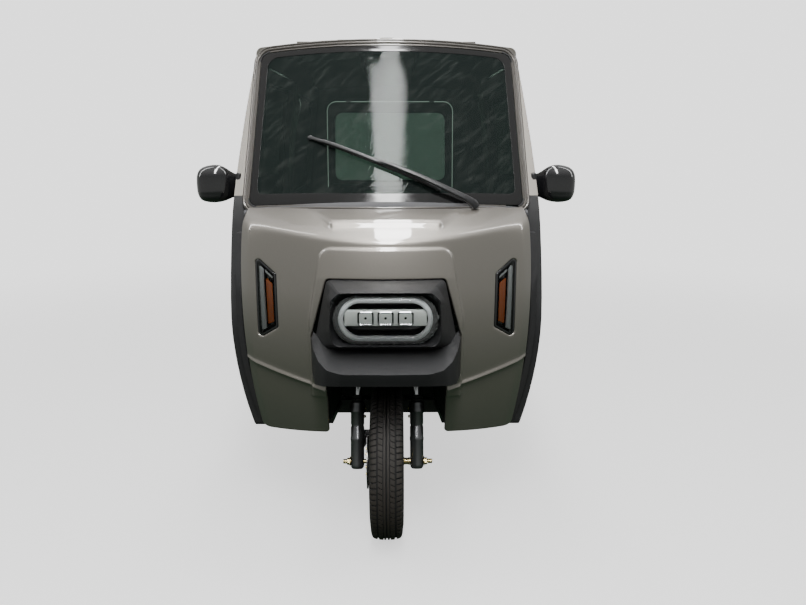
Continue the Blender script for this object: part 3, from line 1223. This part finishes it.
FRONT, REAR_L, REAR_R = (0, -1.010, 0.265), (-0.450, 0.840, 0.265), (0.450, 0.840, 0.265)
for node, place in (("front_tyre", FRONT), ("rear_tyre_left", REAR_L), ("rear_tyre_right", REAR_R)):
    tyre(node, place)

# %% [markdown]
# ## Wheels and brakes
# Steel rims carry a valve and a ring of hub bolts. The front disc is drilled and
# bolted to the hub, and each rear wheel has a drum with ribs behind it.

# %% Rims, disc and hub bolts
def wheel_extras(node, place, side, finish=ZINC):
    parts = [repeat_round(bolt_mesh("hub_bolt",
        (side * 0.0520 if node == "front_rim" else side * 0.0360, 0.031, 0), (side, 0, 0), 0.0062,
        0.0065), 5, finish)]
    cap_x = 0.036 if node != "front_rim" else None
    if cap_x:
        cap = [(0.0001, side * 0.062), (0.010, side * 0.0615), (0.016, side * 0.0585),
            (0.0185, side * 0.052), (0.0195, side * 0.036)]
        parts.append(new_object("hub_cap", tidy_mesh(loft_mesh("hub_cap", lathe_rows(cap, 48))), WHEEL,
            None))
        smooth_by_angle(parts[-1].data, 40)
    stem = [(0.0042, 0.128), (0.0042, 0.133), (0.0032, 0.136), (0.0030, 0.150), (0.0036, 0.151),
        (0.0036, 0.158), (0.0028, 0.160)]
    rings = [[(side * 0.020 + side * (h - 0.128) * 0.9 , r * math.cos(t) + 0.0,
        0.127 - (h - 0.128) * 0.45 + r * math.sin(t)) for t in
              np.linspace(0, 2 * math.pi, 16, endpoint=False)] for r, h in stem]
    parts.append(new_object("valve", tidy_mesh(loft_mesh("valve", rings, True, (True, True))), RUBBER,
        None))
    mesh = join(node + "_fittings", parts)
    mesh.transform(Matrix.Translation(place))
    return new_object(node + "_fittings", mesh, None, body_of(node), slot_of(node))
for node, place, side in (("front_rim", FRONT, 1), ("rear_rim_left", REAR_L, -1), ("rear_rim_right", REAR_R, 1)):
    dress(node, WHEEL, 0.0015)
    wheel_extras(node, place, side)

def drilled_disc():
    """Brake disc with a waved rim, slots and a carrier that reaches the hub."""
    turns, bands = 360, [(0.0445, 0), (0.060, 0), (0.078, 0), (0.095, 1)]
    rings = []
    for r, wave in [(0.0445, 0), (0.0620, 0), (0.0950, 1)]:
        t = np.linspace(0, 2 * math.pi, turns, endpoint=False)
        rr = r - wave * 0.0022 * (np.cos(t * 12) > 0.75)
        rings.append(np.stack([np.full(turns, -0.066), rr * np.cos(t), rr * np.sin(t)], 1))
    back_rings = [ring * [1, 1, 1] - [0.004, 0, 0] for ring in rings[::-1]]
    mesh = tidy_mesh(loft_mesh("disc", rings + back_rings + [rings[0]]))
    disc = new_object("disc", mesh, STEEL, None)
    smooth_by_angle(mesh, 30)
    hole = tidy_mesh(loft_mesh("hole", [[(x, 0.0700 + r * math.cos(t), r * math.sin(t))
        for t in np.linspace(0, 2 * math.pi, 16, endpoint=False)]
                               for r, x in [(0.0042, -0.0654), (0.0038, -0.0658), (0.0001, -0.0659)]]))
    hole2 = hole.copy(); hole2.transform(Matrix.Rotation(math.radians(5), 4,
        "X") @ Matrix.Translation((0, 0.012, 0)))
    dark = SATIN
    parts = [disc, repeat_round(hole, 24, dark), repeat_round(hole2, 24, dark)]
    spider = [(0.0090, -0.0535), (0.030, -0.0535), (0.036, -0.060), (0.0475, -0.0645), (0.0500, -0.0658),
        (0.0500, -0.0712), (0.040, -0.0716),
              (0.028, -0.066), (0.0090, -0.066)]
    parts.append(new_object("spider", tidy_mesh(loft_mesh("spider", lathe_rows(spider + spider[:1], 96))),
        CASTING, None))
    smooth_by_angle(parts[-1].data, 35)
    parts.append(repeat_round(bolt_mesh("disc_bolt", (-0.0714, 0.0435, 0), (-1, 0, 0), 0.0045, 0.0045), 6,
        ZINC))
    mesh = join("drilled_disc", parts)
    mesh.transform(Matrix.Translation(FRONT))
    return new_object("drilled_disc", mesh, None, body_of("brake_disc"), slot_of("brake_disc"),
        ("brake_disc",))
drilled_disc()

# %% [markdown]
# ## Fork
# Bright upper tubes slide in cast lower legs with collars. A long yellow-zinc axle
# goes through both, and the caliper sits behind the left leg on a bracket.

# %% Fork
TILT = Matrix.Translation((0, -0.80471, 0.79973)) @ Matrix.Rotation(math.radians(-18), 4, "X")
def turned(name, profile, x, y, material, sides=64, lean=TILT):
    """A turned bar in the steering frame from rows of (radius, height)."""
    rings = [[(x + r * math.cos(t), y + r * math.sin(t), z) for t in np.linspace(0, 2 * math.pi, sides,
        endpoint=False)] for r, z in profile]
    mesh = tidy_mesh(loft_mesh(name, rings, True, (True, True)))
    mesh.transform(lean)
    smooth_by_angle(mesh, 38)
    return new_object(name, mesh, material, None)
leg_rows = [(0.010, -0.5985), (0.018, -0.5975), (0.0225, -0.592), (0.024, -0.584), (0.024, -0.500),
    (0.0252, -0.497), (0.0252, -0.489), (0.0240, -0.486),
            (0.0240, -0.452), (0.0225, -0.449), (0.0225, -0.444), (0.0240, -0.441), (0.0240, -0.404),
            (0.0270, -0.400), (0.0278, -0.396), (0.0278, -0.386),
            (0.0262, -0.380), (0.0262, -0.366), (0.0215, -0.362), (0.0175, -0.3605)]
tube_rows = [(0.016, -0.380), (0.016, 0.078), (0.0145, 0.080)]
fork_parts = []
for s in (1, -1):
    fork_parts.append(turned("fork_leg", leg_rows, s * 0.105, -0.030, LEG_METAL))
    fork_parts.append(turned("fork_tube", tube_rows, s * 0.105, -0.030, CHROME))
    for z in (-0.365, -0.395):
        head = bolt_mesh("pinch_bolt", (s * 0.0805, -0.030, z - 0.02), (-s, 0, 0), 0.0055, 0.006)
        head.transform(TILT)
        fork_parts.append(new_object("pinch_bolt", head, ZINC, None))
    gaiter = [(0.0185, -0.362)] + [(0.0225 if k % 2 else 0.0185, -0.360 + 0.006 * k) for k in range(1,
        10)] + [(0.0170, -0.302)]
    fork_parts.append(turned("wiper_seal", gaiter[:4] + [(0.017, -0.338)], s * 0.105, -0.030, RUBBER))
cad_fork = merged_copy("steering_fork")
kept = bmesh.new()
kept.from_mesh(cad_fork)
low_part = [f for f in kept.faces if (TILT.inverted() @ f.calc_center_median()).z < -0.100]
bmesh.ops.delete(kept, geom=low_part, context="FACES")
bmesh.ops.holes_fill(kept, edges=[e for e in kept.edges if e.is_boundary])
kept.to_mesh(cad_fork)
kept.free()
smooth_by_angle(cad_fork, 30)
fork_parts.append(new_object("fork_yokes", cad_fork, SATIN, None))
for s in (1, -1):
    for z in (-0.088, 0.068):
        for x in (s * 0.105, s * 0.02):
            head = bolt_mesh("yoke_bolt", (x, -0.0545 if x == s * 0.105 else -0.0545, z + 0.014),
                (0, -1, 0), 0.0055, 0.006)
            head.transform(TILT)
            if x == s * 0.105:
                fork_parts.append(new_object("yoke_bolt", head, ZINC, None))
new_object("fork_dressed", join("fork_dressed", fork_parts), None, "steering", slot_of("steering_fork"),
    ("steering_fork",))

axle = []
def along_x(name, profile, material, sides=32, place=FRONT):
    mesh = tidy_mesh(loft_mesh(name, lathe_rows(profile, sides, place), True, (True, True)))
    smooth_by_angle(mesh, 35)
    return new_object(name, mesh, material, None)
axle.append(along_x("axle_bar", [(0.0065, -0.1555), (0.008, -0.154), (0.008, 0.158), (0.0065, 0.1595)],
    ZINC))
axle.append(along_x("spacer", [(0.0130, 0.0525), (0.0136, 0.054), (0.0136, 0.060), (0.0120, 0.062),
    (0.0120, 0.074), (0.0136, 0.076), (0.0136, 0.0805)], ZINC))
for s in (1, -1):
    nut = bolt_mesh("axle_nut", (s * 0.1296, FRONT[1], FRONT[2]), (s, 0, 0), 0.0125, 0.0125)
    axle.append(new_object("axle_nut", nut, ZINC, None))
new_object("axle_dressed", join("axle_dressed", axle), None, "steering", slot_of("front_axle"),
    ("front_axle",))

lean = Matrix.Translation(FRONT) @ Matrix.Rotation(math.radians(-18), 4, "X")
def leaned_box(name, lo, hi, bevel, material):
    obj = box_mesh(name, lo, hi, bevel, material, None)
    obj.data.transform(lean)
    return obj
caliper = [leaned_box("caliper_outer", (-0.0905, 0.026, 0.046), (-0.0765, 0.094, 0.102), 0.007, CASTING),
           leaned_box("caliper_inner", (-0.0595, 0.030, 0.050), (-0.0535, 0.090, 0.100), 0.0025, CASTING),
           leaned_box("caliper_bridge", (-0.0895, 0.080, 0.074), (-0.0540, 0.0955, 0.1035), 0.004,
           CASTING),
           leaned_box("caliper_lug", (-0.1005, 0.000, 0.052), (-0.0840, 0.030, 0.094), 0.004, CASTING)]
for z in (0.060, 0.088):
    head = bolt_mesh("caliper_bolt", (-0.0905, 0.060, z), (-1, 0, 0), 0.0055, 0.005)
    head.transform(lean)
    caliper.append(new_object("caliper_bolt", head, ZINC, None))
new_object("caliper_dressed", join("caliper_dressed", caliper), None, "steering",
    slot_of("brake_caliper"), ("brake_caliper",))
print("fork, axle and caliper done")

# %% [markdown]
# ## Mirrors and wiper
# A mirror is a smooth gloss shell whose inner end grows out of the door. Seen from
# behind it holds a flat glass in a dark rim. The wiper is an arm and a layered blade.

# %% Mirrors
def superellipse(cy, cz, ry, rz, p=2.6, n=64, lean=0.0):
    out = []
    for k in range(n):
        t = 2 * math.pi * k / n
        c, s = math.cos(t), math.sin(t)
        y = ry * math.copysign(abs(c) ** (2 / p), c)
        z = rz * math.copysign(abs(s) ** (2 / p), s)
        out.append((cy + y + lean * z, cz + z))
    return out
mirror_rows = [  # across, centre y, centre z, half depth, half height
    (0.5352, -0.752, 1.216, 0.0200, 0.0400), (0.5430, -0.757, 1.217, 0.0215, 0.0420),
    (0.5520, -0.766, 1.219, 0.0240, 0.0460),
    (0.5620, -0.776, 1.221, 0.0285, 0.0530), (0.5740, -0.782, 1.223, 0.0330, 0.0600),
    (0.5900, -0.785, 1.224, 0.0365, 0.0650),
    (0.6100, -0.786, 1.223, 0.0385, 0.0660), (0.6300, -0.785, 1.222, 0.0380, 0.0640),
    (0.6460, -0.783, 1.221, 0.0360, 0.0600),
    (0.6570, -0.781, 1.220, 0.0320, 0.0540), (0.6640, -0.779, 1.220, 0.0265, 0.0460),
    (0.6690, -0.777, 1.220, 0.0200, 0.0360),
    (0.6715, -0.776, 1.220, 0.0125, 0.0240), (0.6722, -0.776, 1.220, 0.0050, 0.0100)]
BACK = -0.7560
def mirror(s, node):
    rings = []
    for x, cy, cz, ry, rz in mirror_rows:
        ring = []
        for y, z in superellipse(cy, cz, ry, rz):
            if x > 0.556:
                y = min(y, BACK + 0.004 * (1 - min(1, (x - 0.556) / 0.02)))
            split = math.exp(-((z - 1.1865) / 0.0016) ** 2) * 0.0016 if x > 0.556 else 0
            pull = Vector((cy - y, cz - z))
            if pull.length > 1e-6:
                pull = pull.normalized() * split
            ring.append((s * x, y + pull.x, z + pull.y))
        rings.append(ring)
    parts = [new_object("shell", tidy_mesh(loft_mesh("shell", rings, True, (True, True))), GLOSS, None)]
    smooth_by_angle(parts[0].data, 42)
    def face(grow, y):
        pts = [(x, cz + math.copysign(1, k) * rz * grow) for k in (1, -1) for x, cy, cz, ry, rz in
               (mirror_rows[3:-3] if k > 0 else mirror_rows[3:-3][::-1])]
        mid = np.mean(pts, axis=0)
        loop = even_loop([tuple(mid + (np.array(p) - mid) * [grow, 1]) for p in pts], 96)
        return [(s * x, y, z) for x, z in loop]
    rim = loft_mesh("rim", [face(0.90, BACK - 0.003), face(0.90, BACK + 0.0016),
        face(0.86, BACK + 0.0022), face(0.83, BACK + 0.0006)])
    parts.append(new_object("rim", tidy_mesh(rim, (0, 1, 0)), RUBBER, None))
    glass = loft_mesh("glass", [face(0.835, BACK + 0.0008), face(0.82, BACK + 0.0014)], True,
        (False, True))
    parts.append(new_object("glass", tidy_mesh(glass, (0, 1, 0)), REFLECTOR, None))
    foot = box_mesh("foot", (0.5205, -0.800, 1.120), (0.5395, -0.712, 1.262), 0.006, SATIN, None)
    for v in foot.data.vertices:
        v.co.x = s * (v.co.x + float(side_x(v.co.z)) - 0.5365)
    tidy_mesh(foot.data)
    smooth_by_angle(foot.data, 40)
    parts.append(foot)
    return new_object(node + "_dressed", join(node + "_dressed", parts), None, body_of(node),
        slot_of(node), (node,))
mirror(1, "mirror_right")
mirror(-1, "mirror_left")

# %% Wiper
def screen_point(x, up, lift):
    return tuple(on_screen(np.array(x), np.array(up), lift))
def flat_bar(name, rows, material, sides=12):
    """A bar on the glass from rows of (x, up, lift, half width, half height)."""
    pts = [Vector(screen_point(r[0], r[1], r[2])) for r in rows]
    rings = []
    for i, p in enumerate(pts):
        d = (pts[min(i + 1, len(pts) - 1)] - pts[max(i - 1, 0)]).normalized()
        up = Vector(SCREEN_OUT)
        side = d.cross(up).normalized()
        up = side.cross(d).normalized()
        w, h = rows[i][3], rows[i][4]
        ring = []
        for k in range(sides):
            t = 2 * math.pi * (k + 0.5) / sides
            c, q = math.cos(t), math.sin(t)
            ring.append(tuple(p + side * w * math.copysign(abs(c) ** 0.6,
                c) + up * h * math.copysign(abs(q) ** 0.6, q)))
        rings.append(ring)
    mesh = tidy_mesh(loft_mesh(name, rings, True, (True, True)))
    smooth_by_angle(mesh, 40)
    return new_object(name, mesh, material, None)
def along(a, b, t):
    return tuple(a[k] + (b[k] - a[k]) * t for k in range(len(a)))
tip, heel = (-0.262, 0.252), (0.175, 0.062)
wiper_parts = [flat_bar("arm_head", [(0.306, -0.004, 0.022, 0.0115, 0.007),
    (0.299, 0.006, 0.026, 0.0135, 0.009), (0.285, 0.016, 0.030, 0.0125, 0.0085),
               (0.262, 0.028, 0.033, 0.0100, 0.0065)], SATIN),
               flat_bar("arm", [(0.266, 0.026, 0.033, 0.0105, 0.0056),
               (0.190, 0.060, 0.036, 0.0090, 0.0048), (0.110, 0.096, 0.036, 0.0078, 0.0042),
               (0.020, 0.134, 0.034, 0.0064, 0.0036), (-0.018, 0.149, 0.031, 0.0060, 0.0034)], SATIN)]
def blade(t, lift, w, h):
    x, up = along(heel, tip, t)
    return (x, up, lift, w, h)
wiper_parts.append(flat_bar("blade_spine", [blade(t, 0.0155 + 0.010 * (1 - abs(2 * t - 1) ** 1.6), 0.0062,
    0.0034)
                   for t in np.linspace(0.10, 0.90, 15)], SATIN))
for a, b in ((0.0, 0.34), (0.66, 1.0)):
    wiper_parts.append(flat_bar("blade_claw", [blade(a + (b - a) * t,
        0.0095 + 0.0060 * (1 - abs(2 * t - 1) ** 1.8), 0.0058, 0.0024) for t in np.linspace(0, 1, 9)],
        SATIN))
wiper_parts.append(flat_bar("blade_rubber", [blade(t, 0.0058, 0.0042, 0.0034) for t in np.linspace(-0.02,
    1.02, 25)], RUBBER))
for t in (0.0, 0.17, 0.34, 0.66, 0.83, 1.0):
    wiper_parts.append(flat_bar("claw", [blade(t - 0.008, 0.0080, 0.0078, 0.0036),
        blade(t + 0.008, 0.0080, 0.0078, 0.0036)], SATIN))
wiper_parts.append(flat_bar("clasp", [(-0.030, 0.151, 0.024, 0.0075, 0.0065),
    (-0.004, 0.141, 0.026, 0.0075, 0.0065)], SATIN))
post = [(0.0118, -0.022), (0.0118, 0.004), (0.0100, 0.008), (0.0092, 0.020), (0.0070, 0.0265),
    (0.0001, 0.028)]
foot_at = Vector(screen_point(0.299, 0.004, 0.004))
post_rings = [[tuple(foot_at + Vector((r * math.cos(t), r * math.sin(t), h))) for t in np.linspace(0,
    2 * math.pi, 32, endpoint=False)] for r, h in post]
wiper_parts.append(new_object("wiper_post", tidy_mesh(loft_mesh("wiper_post", post_rings, True,
    (True, False))), SATIN, None))
smooth_by_angle(wiper_parts[-1].data, 40)
new_object("wiper_dressed", join("wiper_dressed", wiper_parts), None, "cabin", slot_of("wiper"),
    ("wiper",))
print("mirrors and wiper done")

# %% [markdown]
# ## Seats
# The CAD gives each cushion as a plain block. Here a remeshed copy is blown up a
# little by a cloth simulation, so the covers crown and their edges pull round. The
# seams and sewn channels are pressed in afterwards.

# %% Seat cushions
def cushion(node, voxel=0.008, puff=0.014, pressure=4.0, channels=(), axis="y", rows=()):
    """A crowned cushion from the CAD block of a node, a little smaller than the block."""
    mesh = merged_copy(node)
    obj = new_object(node + "_dressed", mesh, None, None)
    src = np.array([v.co for v in mesh.vertices])
    mid, span = (src.min(0) + src.max(0)) / 2, src.max(0) - src.min(0)
    shrink_by = 1 - 2 * puff / np.maximum(span, 0.05)
    for v in mesh.vertices:
        v.co = Vector(mid + (np.array(v.co) - mid) * shrink_by)
    mod = obj.modifiers.new("even", "REMESH")
    mod.mode, mod.voxel_size = "VOXEL", voxel
    apply_modifiers(obj)
    rest = np.array([v.co for v in obj.data.vertices])
    cloth = obj.modifiers.new("cloth", "CLOTH")
    cloth.settings.use_pressure = True
    cloth.settings.uniform_pressure_force = pressure
    cloth.settings.effector_weights.gravity = 0.0
    cloth.settings.quality = 4
    cloth.settings.mass = 0.3
    cloth.settings.tension_stiffness = 12
    cloth.settings.compression_stiffness = 12
    cloth.settings.bending_stiffness = 0.8
    cloth.point_cache.frame_start, cloth.point_cache.frame_end = 1, 16
    for f in range(1, 17):
        scene.frame_set(f)
    apply_modifiers(obj)
    scene.frame_set(1)
    now = np.array([v.co for v in obj.data.vertices])
    step = now - rest
    size = np.linalg.norm(step, axis=1)
    cap = puff * 1.0
    step *= (np.minimum(size, cap) / np.maximum(size, 1e-9))[:, None]
    now = rest + step
    low, high = src.min(0), src.max(0)
    now = np.clip(now, low + 0.0006, high - 0.0006)
    obj.data.vertices.foreach_set("co", now.ravel())
    obj.data.update()
    smooth = obj.modifiers.new("relax", "SMOOTH")
    smooth.factor, smooth.iterations = 0.5, 4
    apply_modifiers(obj)
    normals = np.array([v.normal for v in obj.data.vertices])
    now = np.array([v.co for v in obj.data.vertices])
    press = np.zeros(len(now))
    for k, place, width, depth, face in rows:
        on_face = np.clip(normals[:, face[0]] * face[1], 0, 1) ** 0.5
        press += depth * np.exp(-((now[:, k] - place) / width) ** 2) * on_face
    now = now - normals * press[:, None]
    obj.data.vertices.foreach_set("co", now.ravel())
    obj.data.update()
    obj.data.materials.clear()
    obj.data.materials.append(LEATHER)
    smooth_by_angle(obj.data, 60)
    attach(obj, body_of(node))
    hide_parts(node)
    print(node, len(obj.data.polygons), "faces")
    return obj

TOP, FRONT_FACE = (2, 1), (1, -1)
cushion("driver_cushion", 0.0075, 0.014, rows=[(0, x, 0.0045, 0.0060, TOP) for x in (-0.15, 0.15)]
        + [(1, y, 0.0045, 0.0050, TOP) for y in (-0.15, -0.04, 0.07)])
cushion("driver_backrest", 0.0075, 0.013, rows=[(0, x, 0.0045, 0.0060, FRONT_FACE) for x in (-0.14, 0.14)]
        + [(2, z, 0.0045, 0.0050, FRONT_FACE) for z in (0.82, 0.93, 1.04, 1.15)])
cushion("bench_cushion", 0.0095, 0.015, rows=[(0, x, 0.005, 0.0070, TOP) for x in (-0.29, 0.0, 0.29)]
        + [(1, y, 0.005, 0.0055, TOP) for y in (0.62, 0.74)])
cushion("bench_backrest", 0.0095, 0.014, rows=[(0, x, 0.005, 0.0070, FRONT_FACE) for x in (-0.29, 0.0,
    0.29)]
        + [(2, z, 0.005, 0.0055, FRONT_FACE) for z in (0.86, 1.0)])

# %% [markdown]
# ## Handlebar
# The tube bends smoothly from the middle clamp to both grips. Grips are ribbed
# rubber, and levers, switch pods and the instrument sit on it.

# %% Handlebar
BAR = TILT @ Matrix.Translation((0, 0, 0.292))
route = [(0, 0, 0), (0.060, 0, 0), (0.170, -0.010, 0.070), (0.215, 0.015, 0.078), (0.335, 0.095, 0.072)]
pieces = []
full = [(-x, y, z) for x, y, z in reversed(route[1:])] + route
smooth_route = curve_points(full, 0.035)
pieces.append(tube("bar_tube", [tuple(BAR @ p) for p in smooth_route], 0.011, SATIN, None, 20))
for s in (1, -1):
    a, b = Vector((s * 0.215, 0.015, 0.078)), Vector((s * 0.335, 0.095, 0.072))
    grip = []
    radii = []
    for k in range(49):
        t = 0.27 + 0.73 * k / 48
        grip.append(tuple(BAR @ a.lerp(b, t)))
        radii.append(0.0175 if k < 3 or k > 45 else 0.0163 if k % 2 else 0.0150)
    pieces.append(tube("grip", grip, radii, RUBBER, None, 24))
    pod = []
    for t, r in [(0.055, 0.013), (0.06, 0.019), (0.10, 0.021), (0.19, 0.021), (0.235, 0.0195), (0.24, 0.012)]:
        pod.append((tuple(BAR @ a.lerp(b, t)), r))
    pieces.append(tube("switch_pod", [p for p, r in pod], [r for p, r in pod], SATIN, None, 24))
    lever = curve_points([a.lerp(b, 0.10) + Vector((0, -0.018, -0.004)),
        a.lerp(b, 0.22) + Vector((0, -0.046, -0.010)),
                          a.lerp(b, 0.60) + Vector((s * 0.004, -0.052, -0.014)),
                          a.lerp(b, 0.98) + Vector((s * 0.004, -0.040, -0.014))], 0.02)
    pieces.append(tube("lever", [tuple(BAR @ p) for p in lever],
        [0.0058 - 0.0018 * k / len(lever) for k in range(len(lever))], STEEL, None, 12))
for x in (-0.018, 0.018):
    head = bolt_mesh("clamp_bolt", (x, 0, 0.0145), (0, 0, 1), 0.0055, 0.006)
    head.transform(BAR)
    pieces.append(new_object("clamp_bolt", head, ZINC, None))
clamp = box_mesh("clamp", (-0.031, -0.016, -0.013), (0.031, 0.016, 0.0142), 0.004, SATIN, None)
clamp.data.transform(BAR)
pieces.append(clamp)
tip_pod = Matrix.Translation((0, -0.055, 0.025)) @ Matrix.Rotation(math.radians(25), 4, "X")
pod = box_mesh("instrument", (-0.094, -0.034, 0.001), (0.094, 0.044, 0.069), 0.017, CABIN, None,
    segments=5)
pod.data.transform(BAR @ tip_pod)
pieces.append(pod)
face = box_mesh("instrument_face", (-0.076, -0.020, 0.0665), (0.076, 0.036, 0.0702), 0.0016, GLOSS, None)
face.data.transform(BAR @ tip_pod)
pieces.append(face)
for s in (1, -1):
    pieces.append(tube("pod_stay", [tuple(BAR @ Vector((s * 0.040, -0.003, 0.005))),
        tuple(BAR @ Vector((s * 0.040, -0.050, 0.050)))], 0.006, SATIN, None, 16))
new_object("handlebar_dressed", join("handlebar_dressed", pieces), None, "steering", slot_of("handlebar"),
    ("handlebar",))

# %% [markdown]
# ## Dashboard
# Under the screen a moulded shelf carries two air slots with vanes, a lidded box and
# a row of blank switches.

# %% Dashboard details
def on_dash(name, lo, hi, bevel, material):
    return box_mesh(name, lo, hi, bevel, material, None)
dash_parts = []
for s in (1, -1):
    for k in range(6):
        dash_parts.append(on_dash("vane", (s * 0.34 - 0.055, -0.8085, 1.020 + 0.0095 * k),
            (s * 0.34 + 0.055, -0.8045, 1.0225 + 0.0095 * k), 0.0008, SATIN))
    dash_parts.append(on_dash("slot_rim", (s * 0.34 - 0.062, -0.8125, 1.012),
        (s * 0.34 + 0.062, -0.8085, 1.082), 0.0018, GLOSS))
for k in range(5):
    dash_parts.append(on_dash("switch", (-0.24 + 0.032 * k, -0.8110, 0.990),
        (-0.216 + 0.032 * k, -0.8030, 1.008), 0.002, SATIN))
new_object("dash_fittings", join("dash_fittings", dash_parts), None, "cabin", slot_of("dashboard"))
print("cabin fittings done")

# %% [markdown]
# ## The other bodywork
# These pieces already have their true shape in the CAD model. They get soft edges,
# even shading and a finish.

# %% Carried-over nodes
dressed = {}
for node, mat in [("side_frame_left", PAINT), ("side_frame_right", PAINT), ("roof", PAINT), ("rear_panel", PAINT),
                  ("door_left", PAINT), ("door_right", PAINT), ("tailgate", PAINT),
                  ("chassis_frame", CHASSIS), ("floor_pan", CHASSIS), ("arch_liner", LINER), ("pillar_trims", LINER),
                  ("rear_bumper", TRIM), ("dashboard", CABIN), ("seat_bases", CABIN), ("battery_box", CASE),
                  ("rear_suspension", CHASSIS), ("rear_axle", CHASSIS),
                  ("tail_lamps", RED)]:
    piece = dressed[node] = dress(node, mat, 0.0015)
    if node.startswith(("side_frame", "door")):
        piece.data.materials.append(RUBBER)
        for poly in piece.data.polygons:
            if poly.normal.y < -0.55 and poly.center.y < -0.80:
                poly.material_index = 1
for node, mat in [("windshield", SCREEN), ("quarter_glass", SIDE), ("door_glass_left", SIDE),
                  ("door_glass_right", SIDE), ("tailgate_glass", SIDE)]:
    data = frame["nodes"][node].data
    data.materials.clear()
    data.materials.append(mat)

# %% [markdown]
# ## Seals, lamp rims and door handles
# A window seal follows the outline of its glass. The outline is the hull of the
# glass seen square on, and a ray from outside finds the surface at each place.

# %% Seals and rims
def outer_loop(node, side, axis, inset=0.003, spacing=0.012):
    """The outline of a node's outer face: axis 0 looks along x from one side, axis 1 from behind."""
    data = frame["nodes"][node].data
    across = 1 - axis
    flat = [(v.co[across], v.co.z) for v in data.vertices if side == 0 or v.co.x * side > 0]
    loop = np.array(resample([flat[i] for i in geometry.convex_hull_2d(flat)], spacing))
    inward = loop.mean(axis=0) - loop
    loop = loop + inward / np.linalg.norm(inward, axis=1)[:, None] * inset
    tree = BVHTree.FromPolygons([v.co for v in data.vertices], [tuple(f.vertices) for f in data.polygons])
    out = []
    for a, z in loop:
        start = Vector((3 * side, a, z)) if axis == 0 else Vector((a, 3, z))
        ahead = Vector((-side, 0, 0)) if axis == 0 else Vector((0, -1, 0))
        hit = tree.ray_cast(start, ahead)[0]
        if hit is not None:
            out.append(hit)
    return out

def ring_bar(name, points, facing, radius, sides=10):
    """A closed round bar through the points of a loop."""
    verts, faces = [], []
    n = len(points)
    for i, p in enumerate(points):
        ahead = (points[(i + 1) % n] - points[i - 1]).normalized()
        across = ahead.cross(facing).normalized()
        verts += [p + (facing * math.cos(t) + across * math.sin(t)) * radius
                  for t in (2 * math.pi * k / sides for k in range(sides))]
        faces += [(i * sides + k, i * sides + (k + 1) % sides, ((i + 1) % n) * sides + (k + 1) % sides,
            ((i + 1) % n) * sides + k)
                  for k in range(sides)]
    mesh = bpy.data.meshes.new(name)
    mesh.from_pydata([tuple(v) for v in verts], [], faces)
    mesh = tidy_mesh(mesh, None)
    smooth_by_angle(mesh, 60)
    return mesh

def seal(name, node, side, axis, radius, material):
    facing = Vector((side, 0, 0)) if axis == 0 else Vector((0, 1, 0))
    mesh = ring_bar(name, outer_loop(node, side, axis), facing, radius)
    piece = new_object(name, mesh, material, body_of(node), slot_of(node))
    print(name, len(mesh.polygons), "faces")
    return piece

for side, word in ((-1, "left"), (1, "right")):
    seal("door_seal_" + word, "door_glass_" + word, side, 0, 0.0065, RUBBER)
    seal("quarter_seal_" + word, "quarter_glass", side, 0, 0.0065, RUBBER)
    seal("tail_lamp_rim_" + word, "tail_lamps", side, 1, 0.0060, SATIN)
seal("tailgate_seal", "tailgate_glass", 0, 1, 0.0065, RUBBER)

# %% [markdown]
# A tail lamp is cut at two heights: white below, amber in the middle and red above.

# %% Tail lamp colours
WHITE_TOP, AMBER_TOP = 0.868, 0.950
tail = dressed["tail_lamps"]
bm = bmesh.new()
bm.from_mesh(tail.data)
for height in (WHITE_TOP, AMBER_TOP):
    bmesh.ops.bisect_plane(bm, geom=bm.verts[:] + bm.edges[:] + bm.faces[:], plane_co=(0, 0, height),
        plane_no=(0, 0, 1))
bm.to_mesh(tail.data)
bm.free()
tail.data.materials.append(AMBER)
tail.data.materials.append(REFLECTOR)
for poly in tail.data.polygons:
    poly.material_index = 2 if poly.center.z < WHITE_TOP else 1 if poly.center.z < AMBER_TOP else 0

print("tail lamps", len(tail.data.polygons), "faces in three colours")

# %% [markdown]
# A grip arches over the finger recess of each door, with a lock beside it.

# %% Door handles
HANDLE_Z = 1.020
for side, word in ((-1, "left"), (1, "right")):
    arch = [(0.540, 0.030), (0.554, 0.038), (0.562, 0.056), (0.564, 0.094), (0.562, 0.132),
        (0.554, 0.150), (0.540, 0.158)]
    grip = tube("grip", [(side * x, y, HANDLE_Z) for x, y in arch], 0.0125, GLOSS, None)
    key = tube("key", [(side * x, 0.182, HANDLE_Z) for x in (0.538, 0.5535)], 0.0085, CHROME, None)
    new_object("door_handle_" + word, join("door_handle_" + word, [grip, key]), None, "door_" + word,
        slot_of("door_" + word))
print("two door handles done")

# %% [markdown]
# ## Rear edge of the roof
# The crowned roof leaves an opening above the straight top of the rear panel.
# A closing strip fills it, and rays cast upwards give its curved upper edge.

# %% Closing strip
roof = frame["nodes"]["roof"].data
roof_tree = BVHTree.FromPolygons([v.co for v in roof.vertices],
    [tuple(f.vertices) for f in roof.polygons])
strip_back, strip_low, tops = 1.2165, 1.658, []
for x in np.linspace(-0.47, 0.47, 48):
    above = roof_tree.ray_cast(Vector((x, strip_back, 1.50)), Vector((0, 0, 1)))[0]
    tops.append((x, max(strip_low + 0.004, above.z + 0.003 if above else 0)))
rings = [[(x, strip_back, strip_low), (x, strip_back, top), (x, strip_back - 0.006, top),
    (x, strip_back - 0.006, strip_low)]
         for x, top in tops]
loft("roof_closing_strip", rings, PAINT, "cabin", cap=(True, True), angle=40,
    node_slot=slot_of("rear_panel"))
print("closing strip top from", round(min(t for _, t in tops), 4), "to",
    round(max(t for _, t in tops), 4), "m")
